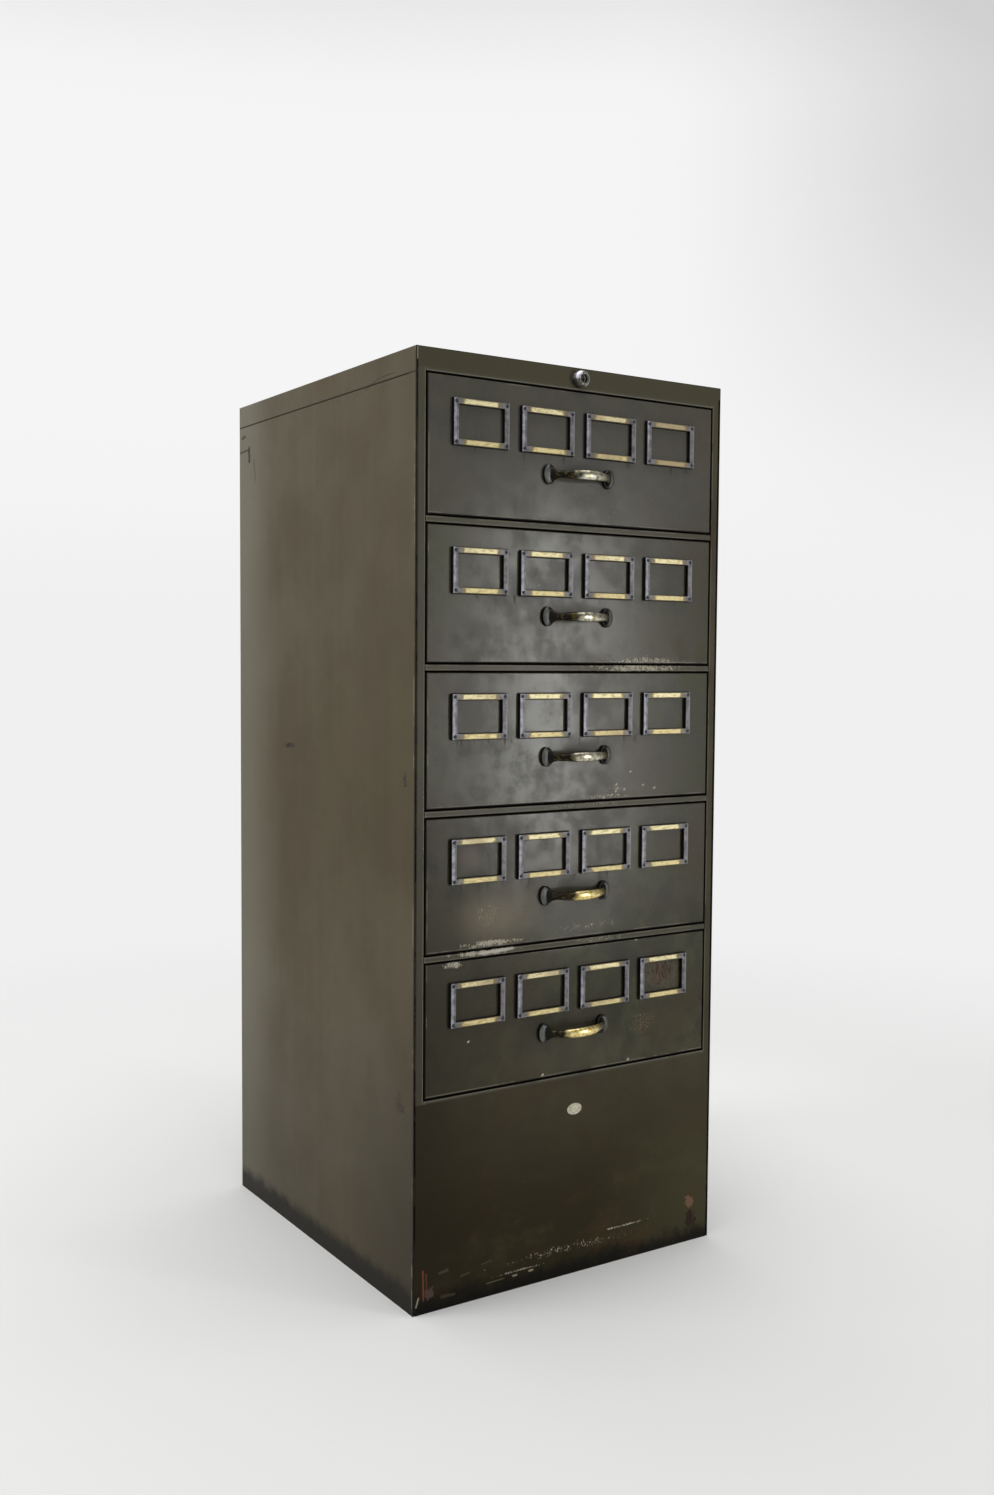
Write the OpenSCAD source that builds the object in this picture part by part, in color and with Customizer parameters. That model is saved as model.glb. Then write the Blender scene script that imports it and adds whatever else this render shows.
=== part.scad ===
// Five-drawer sheet-steel filing cabinet with label holders, roller runners and a gang lock.
// Origin: middle of the underside of the case. Front towards -Y, +X to the right of a person
// who faces the drawers, +Z up. Millimetres.

/* [Case] */
// Width over the side panels
case_w = 534; // [500:1:600]
// Depth from the front face to the back face
case_d = 590; // [570:1:680]
// Height of the fixed panel under the lowest drawer
plinth_h = 299.5; // [120:0.5:400]
// Height of the rail above the top drawer
top_rail_h = 32; // [30:0.5:50]
// Width of each upright border beside the drawers
stile_w = 15.5; // [14.5:0.5:17]
// Sheet thickness of the case
case_t = 1.2; // [1:0.1:1.4]
// Outer radius of every visible fold
fold_r = 1.5; // [1:0.1:2]
// Depth of the folded edge round the drawer openings
frame_return = 12; // [8:0.5:13]
// Depth of the face frame's outer folded edge
corner_return = 7; // [5:0.5:8]
// Width of the open seam between face frame and side panel
corner_seam = 1.8; // [1:0.1:2.2]
// Height above that seam where the corner is welded shut
corner_weld_h = 17; // [10:1:28]
// Width of the side panels' turned-in rear edge
rear_return = 14; // [8:1:24]
// Height of the base pan's upturned edge
pan_lip_h = 30; // [12:1:60]

/* [Top cap] */
// Height of the cap's skirt on the sides and the back
skirt_h = 34; // [30:1:60]
// Open width of the lap seam under the skirt
lap_seam = 0.8; // [0.4:0.1:1.2]
// Closed length of the lap seam at the front corner
lap_front_land = 20; // [8:1:40]
// Closed length of the lap seam at the rear corner
lap_rear_land = 15; // [8:1:40]
// Height of the joggled strip behind the lap seam
joggle_h = 26; // [16:1:28]

/* [Drawers] */
// Clear height of each drawer opening
opening_h = 190.5; // [180:0.5:240]
// Height of the cross rail between two openings
rail_h = 9; // [6:0.5:14]
// Depth of the cross rails
rail_depth = 14; // [8:0.5:14.5]
// Running gap round each drawer front
front_gap = 2; // [1:0.1:3]
// Depth of the folded drawer front
front_depth = 16; // [15:0.5:17]
// Width of the front's turned-in rear lip
front_lip = 12; // [8:0.5:16]
// Sheet thickness of the drawers
drawer_t = 1; // [0.8:0.1:1.2]
// Height of the tray's sides
tray_h = 142; // [120:1:150]
// Height of the tray's floor above the bottom of the opening
tray_lift = 8; // [6:0.5:9]
// Room between the tray and the back of the case
rear_room = 54; // [42:1:90]
// Width of the rolled edge on top of the tray's sides
hem_w = 4; // [3:0.5:5]
// Height of the tray's three partitions
partition_h = 124; // [80:1:130]
// Width of a partition's welded foot
partition_foot = 9; // [6:0.5:14]
// Distance between the front and rear roller axes of a drawer that is pulled out
pulled_overlap = 48; // [30:1:98]

/* [Runners] */
// Outer diameter of the rollers
roller_d = 22; // [20:0.5:23]
// Tread width of the rollers
roller_w = 7; // [6:0.5:7]
// Diameter of the roller axles
axle_d = 6; // [4:0.5:7]
// Radial clearance between roller and axle
axle_fit = 0.08; // [0.05:0.01:0.1]
// Height of the roller axis above the bottom of the opening
roller_z = 24; // [23.5:0.5:28]
// Distance of the front roller axis behind the front face
front_axle_in = 46; // [44:1:60]
// Distance of the runner's front end behind the front face
runner_in = 28; // [27:0.5:30]
// Inward width of the runner's two flanges
runner_flange = 10.6; // [9.6:0.1:10.8]
// Thickness of the spacer strips between side panel and runner
upright_t = 4; // [3.5:0.5:5]
// Width of the spacer strips
upright_w = 40; // [40:1:60]
// Distance of the rear strips from the side panels' turned-in rear edge
upright_rear_in = 10; // [4:1:18]
// Width of the drawer rail's flange, which rides on the front roller
drawer_flange = 11; // [9:0.5:11]
// Running clearance of the rollers and stops
run_gap = 0.3; // [0.2:0.05:0.5]

/* [Lock] */
// Height of the lock's axis below the top of the case
lock_drop = 16.5; // [16:0.5:17]
// Diameter of the lock's collar
collar_d = 23.6; // [22:0.2:26]
// How far the collar stands out
collar_out = 12.5; // [5:0.5:15]
// Diameter of the lock's barrel
barrel_d = 19; // [17:0.5:20]
// Diameter of the turning plug
plug_d = 13; // [11:0.5:14]
// Radial clearance of the plug
plug_fit = 0.1; // [0.05:0.01:0.15]
// Distance from the plug's axis to the cam's crank pin
crank_r = 10; // [9.8:0.1:10.2]
// Diameter of the crank pin
crank_pin_d = 4; // [3:0.5:5]
// Diameter of the lift pin on the lock bar
lift_pin_d = 5; // [4:0.5:6]
// Clearance of both pins in their slots
slot_gap = 0.7; // [0.5:0.05:0.9]
// Thickness of the link, the lock bar and the hooks
bar_t = 2; // [1.5:0.1:2.2]
// Width of the lock bar
bar_w = 8; // [6:0.5:8]
// Height of the link
link_h = 14; // [10:1:16]
// Height of a hook on the lock bar
hook_h = 16; // [12:1:20]
// Height of the catch above the bottom of the opening
catch_z = 70; // [68:1:90]
// Height of a catch
catch_h = 12; // [8:1:14]
// Height of the lock bar's guides above the bottom of the opening
guide_up = 120; // [90:1:160]

/* [Label holders] */
// Width of a label holder
label_w = 89.5; // [70:0.5:96]
// Height of a label holder
label_h = 62.5; // [50:0.5:70]
// Width of a label holder's bars
label_bar = 8; // [5:0.5:12]
// How far a label holder stands out
label_t = 5.6; // [3:0.1:7]
// Distance between the middles of two label holders
label_pitch = 110.8; // [100:0.2:114]
// Distance of the label holders below the top of the drawer front
label_drop = 29.5; // [20:0.5:36]
// Depth of the slot that takes the card
card_gap = 1; // [0.6:0.1:1.6]
// How far the card reaches behind each bar
card_lap = 3; // [2:0.5:4]

/* [Pulls] */
// Distance between the middles of a pull's feet
pull_centres = 104; // [80:1:130]
// Height of a pull above the bottom edge of its drawer front
pull_up = 66.5; // [40:0.5:80]
// How far the grip stands out from the drawer front
pull_reach = 32; // [28:0.5:40]
// Height of the grip in its middle
grip_h = 13.6; // [9:0.2:16]
// Thickness of the grip in its middle
grip_t = 9; // [6:0.2:10]
// Thickness of the grip's necks
neck_d = 8.6; // [6:0.2:10]
// Height of the necks where they flare out on the feet
flare_h = 20; // [12:0.5:24]
// Width of the feet
foot_w = 20; // [16:0.5:24]
// Height of the feet
foot_h = 28; // [25:0.5:36]
// Thickness of the feet at the rim
foot_rim = 4.6; // [1:0.1:6.4]
// Height of the feet at the crown
foot_crown = 7; // [5.2:0.1:9]

/* [Hidden] */
$fn = 48;
drawers = 5;
rows = 4;

// Heights
opening_pitch = opening_h + rail_h;
case_h = plinth_h + drawers * opening_pitch - rail_h + top_rail_h;
frame_top = case_h - case_t;
opening_top = case_h - top_rail_h;
lock_z = case_h - lock_drop;
skirt_z = case_h - skirt_h;

// Widths, all measured from the middle plane
side_in = case_w / 2 - case_t;
opening_w = case_w - 2 * stile_w;
front_w = opening_w - 2 * front_gap;
front_h = opening_h - 2 * front_gap;
web_x = side_in - upright_t;
runner_x = web_x - case_t;
lip_x = runner_x - runner_flange + case_t;

// Places along the depth
front_y = -case_d / 2;
back_y = case_d / 2;
tray_y = front_y + front_depth;
tray_len = case_d - front_depth - rear_room;
tray_back = tray_y + tray_len;
front_axle_y = front_y + front_axle_in;
runner_y = front_y + runner_in;
joggle_past = 3;
upright_front_y = front_y + corner_return;
upright_rear_y = back_y - rear_return - upright_rear_in - upright_w;
runner_short = 2;
runner_end = upright_rear_y + upright_w - runner_short;

// Drawer rail and rollers: the flange of the drawer rail reaches over the front roller, and the
// rear roller runs inside the channel beyond it
roller_r = roller_d / 2;
rear_axle_y = tray_back - roller_r - drawer_t;
travel = rear_axle_y - front_axle_y - pulled_overlap;
rail_gap = 0.8;
flange_past = 1;
flange_tip = lip_x - rail_gap;
leaf_x = flange_tip - drawer_flange - drawer_t;
tray_w = 2 * leaf_x;
flange_z = roller_z + roller_r + run_gap;
channel_play = 1;
channel_low = roller_z - roller_r - run_gap;
channel_high = roller_z + roller_r + channel_play;
front_roller_x = flange_tip - flange_past - roller_w;
rear_roller_x = lip_x + rail_gap;
flange_end = 10;
flange_len = rear_axle_y - roller_r - flange_end - tray_y;
rear_stop_y = rear_axle_y + roller_r + run_gap;
out_stop_y = rear_axle_y - travel - roller_r - run_gap;
side_play = 0.3;
head_over = 3;
head_d = axle_d + head_over;
head_t = 1;
shoulder_t = 1.2;
hub_wall = 1.8;
rim_w = 2.2;
rim_bevel = 0.8;
web_dip = 1;

// Lock train: link stroke and bar stroke are both the chord of the crank's quarter turn
stroke = crank_r * sqrt(2);
guide_t = 1.2;
guide_gap = 0.4;
guide_h = 18;
bar_x = web_x - guide_t - guide_gap - bar_w;
bar_in = 12.5;
bar_y = upright_front_y + bar_in;
hook_short = 6;
hook_reach = bar_x - leaf_x - hook_short;
hook_y = bar_y + bar_t;
catch_y = hook_y + bar_t + run_gap;
hook_drop = 4;
hook_inset = 1;
hook_rest_top = catch_z - hook_drop;
ear_len = 18;
cam_t = 2;
cam_in = 6.5;
cam_y = bar_y + cam_in;
cam_over = 1;
cam_gap = 1.5;
pin_past = 2;
link_y = cam_y + cam_t + cam_gap;
crank_x = -stroke / 2;
crank_block = 18;
lift_z = lock_z - stroke / 2;
slot_wall = 2.5;
lift_edge = lift_pin_d / 2 + slot_gap + slot_wall;
link_end_gap = 2;
lift_x = side_in - case_t - stroke - lift_edge - link_end_gap;
bar_end = 14;
bar_low = plinth_h + hook_rest_top - hook_h - bar_end;
plug_recess = 3;
plug_front = front_y - collar_out + plug_recess;
tail_step = 5;
tail_d = plug_d - tail_step;
tail_past = 0.6;
key_slot = [1.8, 8.8];
key_ward = [4, 2];
key_ward_up = 1.6;
key_depth = 14;
barrel_short = 1;
nut_over = 7;
nut_t = 4;
hole_play = 0.2;

// Round of the label holders' upright edges
holder_round = 1;

// Colours
enamel = [0.30, 0.29, 0.24];
liner = [0.27, 0.26, 0.22];
zinc = [0.55, 0.55, 0.53];
brass = [0.72, 0.58, 0.27];
chrome = [0.78, 0.78, 0.80];

function opening_z(n) = plinth_h + (drawers - n) * opening_pitch;
function level_names(stem) = [for (n = [1:drawers]) str(stem, n)];

// ---------- Helpers ----------

// Block between two opposite corners
module block(low, high) {
    translate(low) cube(high - low);
}

module both_sides() {
    children();
    mirror([1, 0, 0]) children();
}

// Waste outside the round of a fold: the sharp edge is the Z axis, the metal lies at +X +Y
module fold_waste(length, r = fold_r) {
    difference() {
        translate([-1, -1, 0]) cube([r + 1, r + 1, length]);
        translate([r, r, -1]) cylinder(r = r, h = length + 2);
    }
}

// Plan of a sheet pan whose two front corners are folded round
module folded_plan(w, d, r) {
    translate([-w / 2, r]) square([w, d - r]);
    translate([-w / 2 + r, 0]) square([w - 2 * r, d]);
    for (side = [-1, 1]) translate([side * (w / 2 - r), r]) circle(r = r);
}

// Solid cushion of width w, depth d and height h with all four front edges folded round
module folded_block(w, d, h, r = fold_r) {
    intersection() {
        translate([0, 0, -h / 2]) linear_extrude(h) folded_plan(w, d, r);
        rotate([0, -90, 0]) linear_extrude(w, center = true) folded_plan(h, d, r);
    }
}

// Flat bar of rounded ends between two points of its own plane
module slot_plan(d, length) {
    translate([-length / 2, -d / 2]) square([length, d]);
    for (end = [-1, 1]) translate([end * length / 2, 0]) circle(d = d);
}

// Cylinder that lies along X from x0 to x1
module cross_pin(d, x0, x1) {
    translate([x0, 0, 0]) rotate([0, 90, 0]) cylinder(d = d, h = x1 - x0);
}

// ---------- Case ----------

// One pressed sheet: two stiles, the top rail and the plinth, with its edges folded back
module face_frame() {
    outer = side_in - corner_seam;
    mouth = opening_w / 2;
    color(enamel) difference() {
        union() {
            block([-outer, front_y, 0], [outer, front_y + case_t, frame_top]);
            block([-side_in, front_y, frame_top - corner_weld_h],
                  [side_in, front_y + case_t, frame_top]);
            both_sides() block([outer - case_t, front_y, 0],
                               [outer, upright_front_y, frame_top]);
            block([-mouth - case_t, front_y, plinth_h - case_t],
                  [mouth + case_t, front_y + frame_return, opening_top + case_t]);
        }
        block([-mouth, front_y - 1, plinth_h], [mouth, front_y + frame_return + 1, opening_top]);
        both_sides() translate([mouth, front_y, plinth_h])
            fold_waste(opening_top - plinth_h);
        translate([-mouth, front_y, plinth_h]) rotate([0, 90, 0]) fold_waste(opening_w);
        translate([-mouth, front_y, opening_top]) mirror([0, 0, 1]) rotate([0, 90, 0])
            fold_waste(opening_w);
        both_sides() translate([-outer, front_y, 0]) fold_waste(frame_top - corner_weld_h);
        translate([0, front_y - 1, lock_z]) rotate([-90, 0, 0])
            cylinder(d = barrel_d + 2 * hole_play, h = case_t + 2);
    }
}

// Four channels across the openings; each end butts against the stiles' folded edge
module cross_rails() {
    color(enamel) for (n = [1:drawers - 1])
        translate([0, front_y, opening_z(n) - rail_h / 2]) difference() {
            rotate([0, -90, 0]) linear_extrude(opening_w, center = true)
                folded_plan(rail_h, rail_depth, fold_r);
            block([-opening_w, case_t, -rail_h / 2 + case_t],
                  [opening_w, rail_depth + 1, rail_h / 2 - case_t]);
        }
}

// Lid with a skirt on three sides, flush with the panels below it
module top_cap() {
    color(enamel) difference() {
        block([-case_w / 2, front_y, skirt_z], [case_w / 2, back_y, case_h]);
        block([-side_in, front_y - 1, skirt_z - 1], [side_in, back_y - case_t, frame_top]);
        both_sides() translate([-case_w / 2, front_y - 1, case_h]) rotate([-90, 0, 0])
            fold_waste(case_d + 2, case_t);
        translate([-case_w / 2 - 1, front_y, case_h]) rotate([0, 90, 0])
            fold_waste(case_w + 2, case_t);
    }
}

// Side sheet with its rear edge turned in and a joggled strip behind the cap's skirt
module side_panel() {
    color(enamel) difference() {
        union() {
            block([-case_w / 2, front_y, 0], [-side_in, back_y, skirt_z]);
            block([-case_w / 2, back_y - 2 * case_t, 0],
                  [-side_in + rear_return, back_y - case_t, skirt_z - joggle_h / 2]);
            block([-side_in, front_y + lap_front_land - joggle_past, skirt_z - joggle_h / 2],
                  [-side_in + case_t, back_y - lap_rear_land + joggle_past,
                   skirt_z + joggle_h / 2]);
        }
        block([-case_w / 2 - 1, front_y + lap_front_land, skirt_z - lap_seam],
              [-side_in, back_y - lap_rear_land, skirt_z + 1]);
    }
}

module side_panel_left() { side_panel(); }
module side_panel_right() { mirror([1, 0, 0]) side_panel(); }

// Back sheet between the side panels, from the floor to the skirt
module back_panel() {
    color(enamel) {
        block([-side_in, back_y - case_t, 0], [side_in, back_y, skirt_z]);
    }
}

// Shallow pan that closes the case below
module base_pan() {
    pan_back = back_y - 2 * case_t;
    color(liner) difference() {
        block([-side_in, upright_front_y, 0], [side_in, pan_back, pan_lip_h]);
        block([-side_in + case_t, upright_front_y + case_t, case_t],
              [side_in - case_t, pan_back - case_t, pan_lip_h + 1]);
    }
}

// Four channel strips that stiffen the sides and space the runners off them
module upright(y) {
    difference() {
        block([web_x, y, pan_lip_h], [side_in, y + upright_w, skirt_z - joggle_h / 2]);
        block([web_x + case_t, y + case_t, pan_lip_h - 1],
              [side_in + 1, y + upright_w - case_t, skirt_z]);
    }
}

module uprights() {
    color(liner) both_sides() {
        upright(upright_front_y);
        upright(upright_rear_y);
    }
}

// ---------- Runners ----------

// Channel with an end stop at the back and an out-stop that catches the rear roller
module runner(n) {
    z = opening_z(n);
    difference() {
        block([lip_x, runner_y, z + channel_low - case_t],
              [web_x, runner_end, z + channel_high + case_t]);
        block([lip_x - 1, runner_y - 1, z + channel_low],
              [runner_x, out_stop_y - case_t, z + channel_high]);
        block([lip_x - 1, out_stop_y, z + channel_low],
              [runner_x, rear_stop_y, z + channel_high]);
        block([lip_x - 1, rear_stop_y + case_t, z + channel_low],
              [runner_x, runner_end + 1, z + channel_high]);
    }
}

module runners_right() {
    color(zinc) for (n = [1:drawers]) runner(n);
}

module runners_left() { mirror([1, 0, 0]) runners_right(); }

// Headed stub with a shoulder, from the runner's web inwards
module front_axle(n) {
    translate([0, front_axle_y, opening_z(n) + roller_z]) {
        head_x = front_roller_x - side_play;
        shoulder_x = front_roller_x + roller_w + side_play;
        cross_pin(axle_d, head_x - head_t, runner_x);
        cross_pin(head_d, head_x - head_t, head_x);
        cross_pin(head_d, shoulder_x, shoulder_x + shoulder_t);
    }
}

module front_axles() {
    color(zinc) both_sides() for (n = [1:drawers]) front_axle(n);
}

// Turned roller: flat tread with bevelled rims and a recessed web round its hub
module roller() {
    bore_r = axle_d / 2 + axle_fit;
    hub_r = bore_r + hub_wall;
    rim_r = roller_r - rim_w;
    bevel_r = roller_r - rim_bevel;
    rotate([0, 90, 0]) rotate_extrude() polygon([
        [bore_r, 0], [hub_r, 0], [hub_r, web_dip], [rim_r, web_dip], [rim_r, 0],
        [bevel_r, 0], [roller_r, rim_bevel], [roller_r, roller_w - rim_bevel],
        [bevel_r, roller_w], [rim_r, roller_w], [rim_r, roller_w - web_dip],
        [hub_r, roller_w - web_dip], [hub_r, roller_w], [bore_r, roller_w]]);
}

module front_rollers(n) {
    color(zinc) both_sides()
        translate([front_roller_x, front_axle_y, opening_z(n) + roller_z]) roller();
}

module rear_rollers(n) {
    color(zinc) both_sides()
        translate([rear_roller_x, rear_axle_y, opening_z(n) + roller_z]) roller();
}

// ---------- Drawers ----------

// Folded steel front, open at the back between its turned-in lips
module drawer_front(n) {
    lip_w = front_w - 2 * front_lip;
    lip_h = front_h - 2 * front_lip;
    color(enamel) translate([0, front_y, opening_z(n) + opening_h / 2]) difference() {
        folded_block(front_w, front_depth, front_h);
        block([-front_w / 2 + drawer_t, drawer_t, -front_h / 2 + drawer_t],
              [front_w / 2 - drawer_t, front_depth - drawer_t, front_h / 2 - drawer_t]);
        block([-lip_w / 2, drawer_t, -lip_h / 2], [lip_w / 2, front_depth + 1, lip_h / 2]);
    }
}

// Open tray: floor, two hemmed sides, back, and a front wall that closes the drawer front
module drawer_tray(n) {
    z = opening_z(n) + tray_lift;
    wall_x = front_w / 2 - front_lip / 2;
    wall_top = opening_z(n) + front_gap + front_h - front_lip / 2;
    color(liner) {
        difference() {
            block([-leaf_x, tray_y, z], [leaf_x, tray_back, z + tray_h]);
            block([-leaf_x + drawer_t, tray_y + drawer_t, z + drawer_t],
                  [leaf_x - drawer_t, tray_back - drawer_t, z + tray_h + 1]);
        }
        block([-wall_x, tray_y, z], [wall_x, tray_y + drawer_t, wall_top]);
        both_sides() block([leaf_x - drawer_t, tray_y, z + tray_h - hem_w],
                           [leaf_x - drawer_t + hem_w, tray_back, z + tray_h]);
    }
}

// Three lengthwise partitions, each with a foot on the tray's floor
module partitions(n) {
    z = opening_z(n) + tray_lift + drawer_t;
    row_w = (tray_w - 2 * drawer_t) / rows;
    color(liner) for (i = [1:rows - 1])
        translate([(i - rows / 2) * row_w, 0, 0]) {
            block([-drawer_t / 2, tray_y + drawer_t, z],
                  [drawer_t / 2, tray_back - drawer_t, z + partition_h]);
            block([-drawer_t / 2, tray_y + drawer_t, z],
                  [partition_foot, tray_back - drawer_t, z + drawer_t]);
        }
}

// Angle rails on the tray's sides, with the rear axles and, on the right, the lock's catch
module drawer_rails(n) {
    z = opening_z(n);
    ear_y = catch_y + bar_t;
    rear_head_x = rear_roller_x + roller_w + side_play;
    color(zinc) {
        both_sides() {
            block([leaf_x, tray_y + drawer_t, z + channel_low],
                  [leaf_x + drawer_t, tray_back, z + flange_z + drawer_t]);
            block([leaf_x, tray_y + drawer_t, z + flange_z],
                  [flange_tip, tray_y + flange_len, z + flange_z + drawer_t]);
            translate([0, rear_axle_y, z + roller_z]) {
                cross_pin(axle_d, leaf_x, rear_head_x + head_t);
                cross_pin(head_d, leaf_x, rear_roller_x - side_play);
                cross_pin(head_d, rear_head_x, rear_head_x + head_t);
            }
        }
        block([leaf_x, catch_y, z + flange_z],
              [leaf_x + drawer_t, ear_y + ear_len, z + catch_z + catch_h]);
        block([leaf_x, catch_y, z + catch_z],
              [front_w / 2 - run_gap, ear_y, z + catch_z + catch_h]);
    }
}

// Open frame with a slot behind the bars that takes a card from above
module label_holder() {
    color(brass) difference() {
        block([-label_w / 2, -label_t, -label_h], [label_w / 2, 0, 0]);
        block([-label_w / 2 + label_bar, -label_t - 1, -label_h + label_bar],
              [label_w / 2 - label_bar, 1, -label_bar]);
        block([-label_w / 2 + label_bar - card_lap, -card_gap, -label_h + label_bar - card_lap],
              [label_w / 2 - label_bar + card_lap, 1, 1]);
        both_sides() translate([-label_w / 2, -label_t, -label_h - 1])
            fold_waste(label_h + 2, holder_round);
    }
}

module label_holders(n) {
    top = opening_z(n) + front_gap + front_h - label_drop;
    for (i = [0:rows - 1])
        translate([(i - (rows - 1) / 2) * label_pitch, front_y, top]) label_holder();
}

// ---------- Pulls ----------

GRIP_RINGS = 29;
GRIP_SIDES = 16;
grip_taper = 1.5;
flare_rise = 8;

// The grip's centre line is one arc that ends inside both feet, at half the rim's thickness
bow_start = foot_rim / 2;
bow_rise = pull_reach - grip_t / 2 - bow_start;
bow_r = (pow(pull_centres / 2, 2) + pow(bow_rise, 2)) / (2 * bow_rise);
bow_turn = asin(pull_centres / 2 / bow_r);

function bow_angle(i) = bow_turn * (2 * i / (GRIP_RINGS - 1) - 1);
function bow_point(a) = [bow_r * sin(a), -bow_start - bow_rise + bow_r * (1 - cos(a))];
function bow_swell(i) = pow(sin(180 * i / (GRIP_RINGS - 1)), grip_taper);
function bow_flare(depth) = pow(max(0, min(1, 1 - (depth - foot_crown) / flare_rise)), 2);
function grip_ring(i) =
    let (a = bow_angle(i), p = bow_point(a), s = bow_swell(i), f = bow_flare(-p.y),
         flat = neck_d / 2 + (grip_t - neck_d) / 2 * s,
         tall = neck_d / 2 + (grip_h - neck_d) / 2 * s + (flare_h - neck_d) / 2 * f)
    [for (k = [0:GRIP_SIDES - 1]) let (turn = 360 * k / GRIP_SIDES)
        [p.x - sin(a) * flat * cos(turn), p.y + cos(a) * flat * cos(turn), tall * sin(turn)]];

// Bowed grip: oval, thickest in the middle, with necks that flare out towards the feet
module grip() {
    points = [for (i = [0:GRIP_RINGS - 1]) each grip_ring(i)];
    walls = [for (i = [0:GRIP_RINGS - 2]) for (k = [0:GRIP_SIDES - 1])
        let (a = i * GRIP_SIDES + k, b = i * GRIP_SIDES + (k + 1) % GRIP_SIDES)
        each [[a, a + GRIP_SIDES, b + GRIP_SIDES], [a, b + GRIP_SIDES, b]]];
    last = (GRIP_RINGS - 1) * GRIP_SIDES;
    ends = [[for (k = [0:GRIP_SIDES - 1]) k],
            [for (k = [GRIP_SIDES - 1:-1:0]) last + k]];
    polyhedron(points, concat(walls, ends));
}

// Oval of four arcs; its ends have the curvature of the ends of an ellipse
module oval_plan(w, h) {
    end_r = w * w / (2 * h);
    end_up = h / 2 - end_r;
    side_r = (w * w / 4 + end_up * end_up - end_r * end_r) / (w - 2 * end_r);
    side_in = side_r - w / 2;
    meet_up = side_r * end_up / norm([side_in, end_up]);
    intersection() {
        translate([-side_in, 0]) circle(r = side_r);
        translate([side_in, 0]) circle(r = side_r);
        translate([-w / 2, -meet_up]) square([w, 2 * meet_up]);
    }
    for (end = [-1, 1]) translate([0, end * end_up]) circle(r = end_r);
}

// Upright oval foot with a domed face
module pull_foot() {
    half = foot_h / 2;
    dome = foot_crown - foot_rim;
    dome_r = (half * half + dome * dome) / (2 * dome);
    rotate([90, 0, 0]) intersection() {
        linear_extrude(foot_crown) oval_plan(foot_w, foot_h);
        translate([0, 0, foot_crown - dome_r]) sphere(r = dome_r, $fn = 96);
    }
}

module pull(n) {
    color(brass) translate([0, front_y, opening_z(n) + front_gap + pull_up]) difference() {
        union() {
            grip();
            both_sides() translate([pull_centres / 2, 0, 0]) pull_foot();
        }
        block([-pull_centres, 0, -foot_h], [pull_centres, foot_crown, foot_h]);
    }
}

// ---------- Lock ----------

// Chromed collar and barrel in one; the plug turns in its bore
module lock_collar() {
    bore = plug_d / 2 + plug_fit;
    barrel_in = cam_y - front_y - barrel_short;
    rim_r = 2.4;
    mouth_in = plug_recess - collar_out;
    color(chrome) translate([0, front_y, lock_z]) rotate([-90, 0, 0]) rotate_extrude() {
        polygon([[bore, mouth_in], [collar_d / 2 - rim_r, -collar_out],
                 [collar_d / 2, -collar_out + rim_r], [collar_d / 2, 0], [barrel_d / 2, 0],
                 [barrel_d / 2, barrel_in], [bore, barrel_in]]);
        translate([collar_d / 2 - rim_r, -collar_out + rim_r]) circle(r = rim_r);
    }
}

// Ring nut that clamps the barrel to the top rail
module lock_nut() {
    color(zinc) translate([0, front_y + case_t, lock_z]) rotate([-90, 0, 0]) difference() {
        cylinder(d = barrel_d + nut_over, h = nut_t, $fn = 6);
        translate([0, 0, -1]) cylinder(d = barrel_d + plug_fit, h = nut_t + 2);
    }
}

// Plug with an upright keyway and a tail for the cam
module lock_plug() {
    color(chrome) translate([0, 0, lock_z]) rotate([-90, 0, 0]) difference() {
        union() {
            translate([0, 0, plug_front]) cylinder(d = plug_d, h = cam_y - plug_front);
            translate([0, 0, cam_y]) cylinder(d = tail_d, h = cam_t + tail_past);
        }
        translate([0, 0, plug_front]) {
            cube([key_slot.x, key_slot.y, 2 * key_depth], center = true);
            translate([0, key_ward_up, 0])
                cube([key_ward.x, key_ward.y, 2 * key_depth], center = true);
        }
    }
}

// Cam plate on the plug's tail; its crank pin starts 45 degrees left of upright
module lock_cam() {
    color(zinc) translate([0, cam_y, lock_z]) rotate([0, -45, 0]) rotate([-90, 0, 0]) {
        difference() {
            union() {
                cylinder(d = plug_d + cam_over, h = cam_t);
                translate([0, -crank_r / 2, 0]) linear_extrude(cam_t)
                    rotate(90) slot_plan(crank_pin_d + 2 * slot_wall, crank_r);
            }
            translate([0, 0, -1]) cylinder(d = tail_d + plug_fit, h = cam_t + 2);
        }
        translate([0, -crank_r, 0])
            cylinder(d = crank_pin_d, h = cam_t + cam_gap + bar_t + pin_past);
    }
}

// Flat link with an upright slot for the crank pin and a 45-degree slot that lifts the lock bar
module link_bar() {
    slot_mid = [0, crank_r * (1 + sqrt(0.5)) / 2];
    slot_run = crank_r * (1 - sqrt(0.5));
    plate_mid = lift_x - stroke / 2;
    plate = stroke + 2 * lift_edge;
    color(zinc) translate([0, link_y + bar_t, lock_z]) rotate([90, 0, 0])
        linear_extrude(bar_t) difference() {
            union() {
                translate([crank_x - crank_block / 2, -link_h / 2])
                    square([lift_x - crank_x, link_h]);
                translate([crank_x - crank_block / 2, -link_h / 2])
                    square([crank_block, link_h / 2 + crank_r + crank_block / 4]);
                translate([plate_mid - plate / 2, -plate / 2]) square(plate);
            }
            translate([crank_x, slot_mid.y]) rotate(90)
                slot_plan(crank_pin_d + 2 * slot_gap, slot_run + slot_gap);
            translate([plate_mid, 0]) rotate(135)
                slot_plan(lift_pin_d + 2 * slot_gap, stroke * sqrt(2) + slot_gap);
        }
}

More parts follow.
